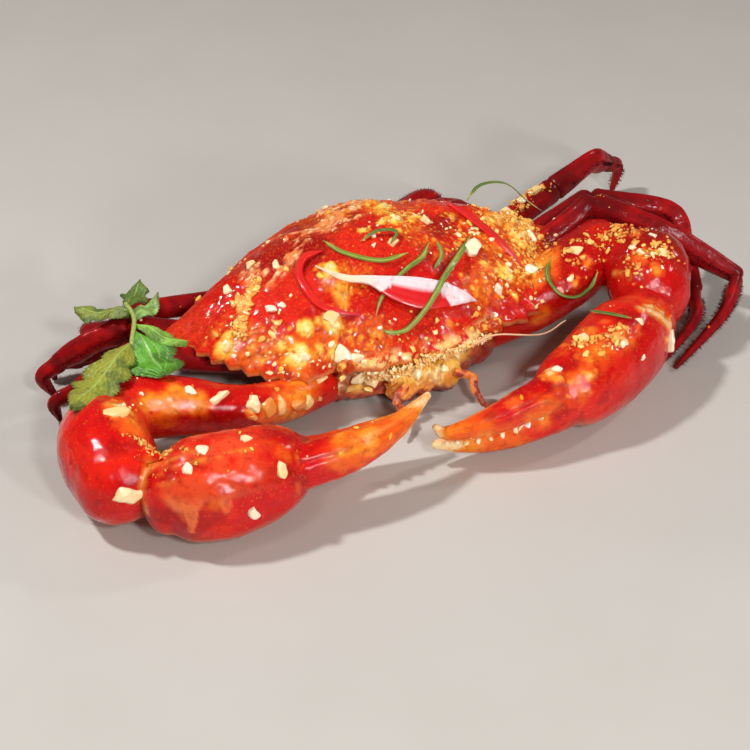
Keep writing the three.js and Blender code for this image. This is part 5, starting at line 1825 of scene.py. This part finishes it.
def front_garlic(rng):
    """The garlic caught in the face and the mouth."""
    rows = np.array(FRONT_GARLIC)
    colours = mixture(rng, len(rows), rgb("FFEFC0"), rgb("FBD888"), rgb("F6C25C"))
    normals = np.broadcast_to(unit(np.array([-0.2, -0.8, 0.5])), (len(rows), 3))
    heap(
        "front_garlic", rows[:, :3], normals, rows[:, 3], rng, GARLIC_LOOK, colours,
        flat=0.6, fine=4, sharp=14, sink=0.5, low=AMBER, slender=(0.5, 0.9),
    )


def garlic_bits(rng):
    """Fine garlic, half of it anywhere and half along the front."""
    anywhere = sample(open_density, BITS_COUNT, rng)
    in_front = sample(front_density, BITS_COUNT, rng)
    spots, normals = (np.vstack(pair) for pair in zip(anywhere, in_front))
    sizes = 0.7 + 2 * rng.uniform(size=len(spots)) ** 2
    colours = mixture(rng, len(spots), rgb("F8EACC"), CREAM, YELLOW)
    heap(
        "garlic_bits", spots, normals, sizes, rng, GARLIC_LOOK, colours,
        fine=3, sharp=16, sink=0.35, low=AMBER,
    )


def golden_crumbs(rng):
    """Fine fried crumbs."""
    spots, normals = sample(crumb_density, CRUMB_COUNT, rng)
    sizes = 0.4 + 1.4 * rng.uniform(size=CRUMB_COUNT) ** 2.5
    colours = mixture(rng, CRUMB_COUNT, GOLD, rgb("CC7424"), rgb("F6C860"), rgb("EC8420"))
    heap(
        "golden_crumbs", spots, normals, sizes, rng, CRUMB_LOOK, colours,
        flat=0.75, sharp=6,
    )


def garlic_flakes(rng):
    """Larger flat flakes among the crumbs."""
    spots, normals = sample(crumb_density, FLAKE_COUNT, rng, FLAKES_ON)
    sizes = rng.uniform(1.2, 3.2, FLAKE_COUNT)
    colours = mixture(rng, FLAKE_COUNT, rgb("E48A28"), rgb("F2AC3C"), rgb("F8D070"))
    heap(
        "garlic_flakes", spots, normals, sizes, rng, CRUMB_LOOK, colours,
        flat=0.55, fine=3, sharp=7, sink=0.15, slender=(0.5, 0.95),
    )


def sauce_lumps(rng):
    """Soft lumps where the sauce is thick."""
    spots, normals = sample(lump_density, LUMP_COUNT, rng)
    sizes = rng.uniform(1.4, 3.4, LUMP_COUNT)
    colours = mixture(rng, LUMP_COUNT, ORANGE, AMBER, ORANGE, rgb("E23A14"), YELLOW)
    heap(
        "sauce_lumps", spots, normals, sizes, rng, SHELL_LOOK, colours,
        flat=0.42, fine=3, sharp=4, sink=0.42,
    )


def sauce_grains(rng):
    """Grains of ground chilli from the sauce."""
    spots, normals = sample(open_density, GRAIN_COUNT, rng)
    sizes = 0.4 + 0.9 * rng.uniform(size=GRAIN_COUNT) ** 2
    colours = mixture(rng, GRAIN_COUNT, ORANGE, RED, AMBER)
    heap(
        "sauce_grains", spots, normals, sizes, rng, SHELL_LOOK, colours,
        flat=0.6, sharp=5, sink=0.3,
    )


def toppings():
    """All that is scattered, in an order that the shared random draws depend on."""
    rng = np.random.default_rng(20)
    for scatter in (garlic_pieces, front_garlic, garlic_bits, claw_teeth):
        scatter(rng)
    arm_chunks()
    for scatter in (golden_crumbs, garlic_flakes, sauce_lumps, sauce_grains):
        scatter(rng)
    foam()


# --------------------------------------------------------- camera and lights

CAMERA_TARGET = Vector((-21.0, -54.3, 20.0)) * MM
CAMERA_AZIMUTH = math.radians(-25.5)
CAMERA_ELEVATION = math.radians(36)
CAMERA_DISTANCE = 0.7
CAMERA_LENS = 96.4
SENSOR_WIDTH = 36

WORLD_COLOUR = (1, 0.88, 0.76, 1)
WORLD_STRENGTH = 0.16
FLOOR_REACH = 3.0

# Round lights: place in metres, width, power.
LIGHTS = {
    "key": [(-0.45, 0.15, 0.75), 0.08, 5.6],
    "front": [(-0.1, -0.75, 0.6), 0.1, 3],
    "right": [(0.65, -0.1, 0.5), 0.08, 1.2],
    "low": [(0.12, -0.95, 0.38), 0.1, 3.4],
}


def camera():
    """From the front and above, as in the photo."""
    level = math.cos(CAMERA_ELEVATION)
    x = math.sin(CAMERA_AZIMUTH) * level
    y = -math.cos(CAMERA_AZIMUTH) * level
    back = Vector((x, y, math.sin(CAMERA_ELEVATION)))
    data = bpy.data.cameras.new("camera")
    data.lens = CAMERA_LENS
    data.sensor_width = SENSOR_WIDTH
    shown = bpy.data.objects.new("camera", data)
    shown.location = CAMERA_TARGET + back * CAMERA_DISTANCE
    shown.rotation_euler = back.to_track_quat("Z", "Y").to_euler()
    bpy.context.scene.collection.objects.link(shown)
    bpy.context.scene.camera = shown


def area_light(name, place, width, power):
    """A round white light that points at the middle of the picture."""
    data = bpy.data.lights.new(name, "AREA")
    data.shape = "DISK"
    data.size = width
    data.energy = power
    lamp = bpy.data.objects.new(name, data)
    lamp.location = place
    lamp.rotation_euler = (Vector(place) - CAMERA_TARGET).to_track_quat("Z", "Y").to_euler()
    bpy.context.scene.collection.objects.link(lamp)


def add_floor():
    """A plain floor that isn't part of the crab."""
    reach = FLOOR_REACH
    corners = [(-reach, -reach, 0), (reach, -reach, 0), (reach, reach, 0), (-reach, reach, 0)]
    mesh = bpy.data.meshes.new("floor")
    mesh.from_pydata(corners, [], [(0, 1, 2, 3)])
    mesh.materials.append(floor_look())
    floor = bpy.data.objects.new("floor", mesh)
    bpy.context.scene.collection.objects.link(floor)


def studio():
    """Faint warm light from all sides, four lights and a floor."""
    world = bpy.data.worlds.new("world")
    bpy.context.scene.world = world
    world.use_nodes = True
    background = world.node_tree.nodes["Background"]
    background.inputs["Color"].default_value = WORLD_COLOUR
    background.inputs["Strength"].default_value = WORLD_STRENGTH
    for name, settings in LIGHTS.items():
        area_light(name, *settings)
    add_floor()
    bpy.context.scene.view_settings.view_transform = "Standard"


shell_piece()
claws()
legs()
body_piece()
face_piece()
mouth_parts()
eyes()
shreds()
coriander()
toppings()
camera()
studio()
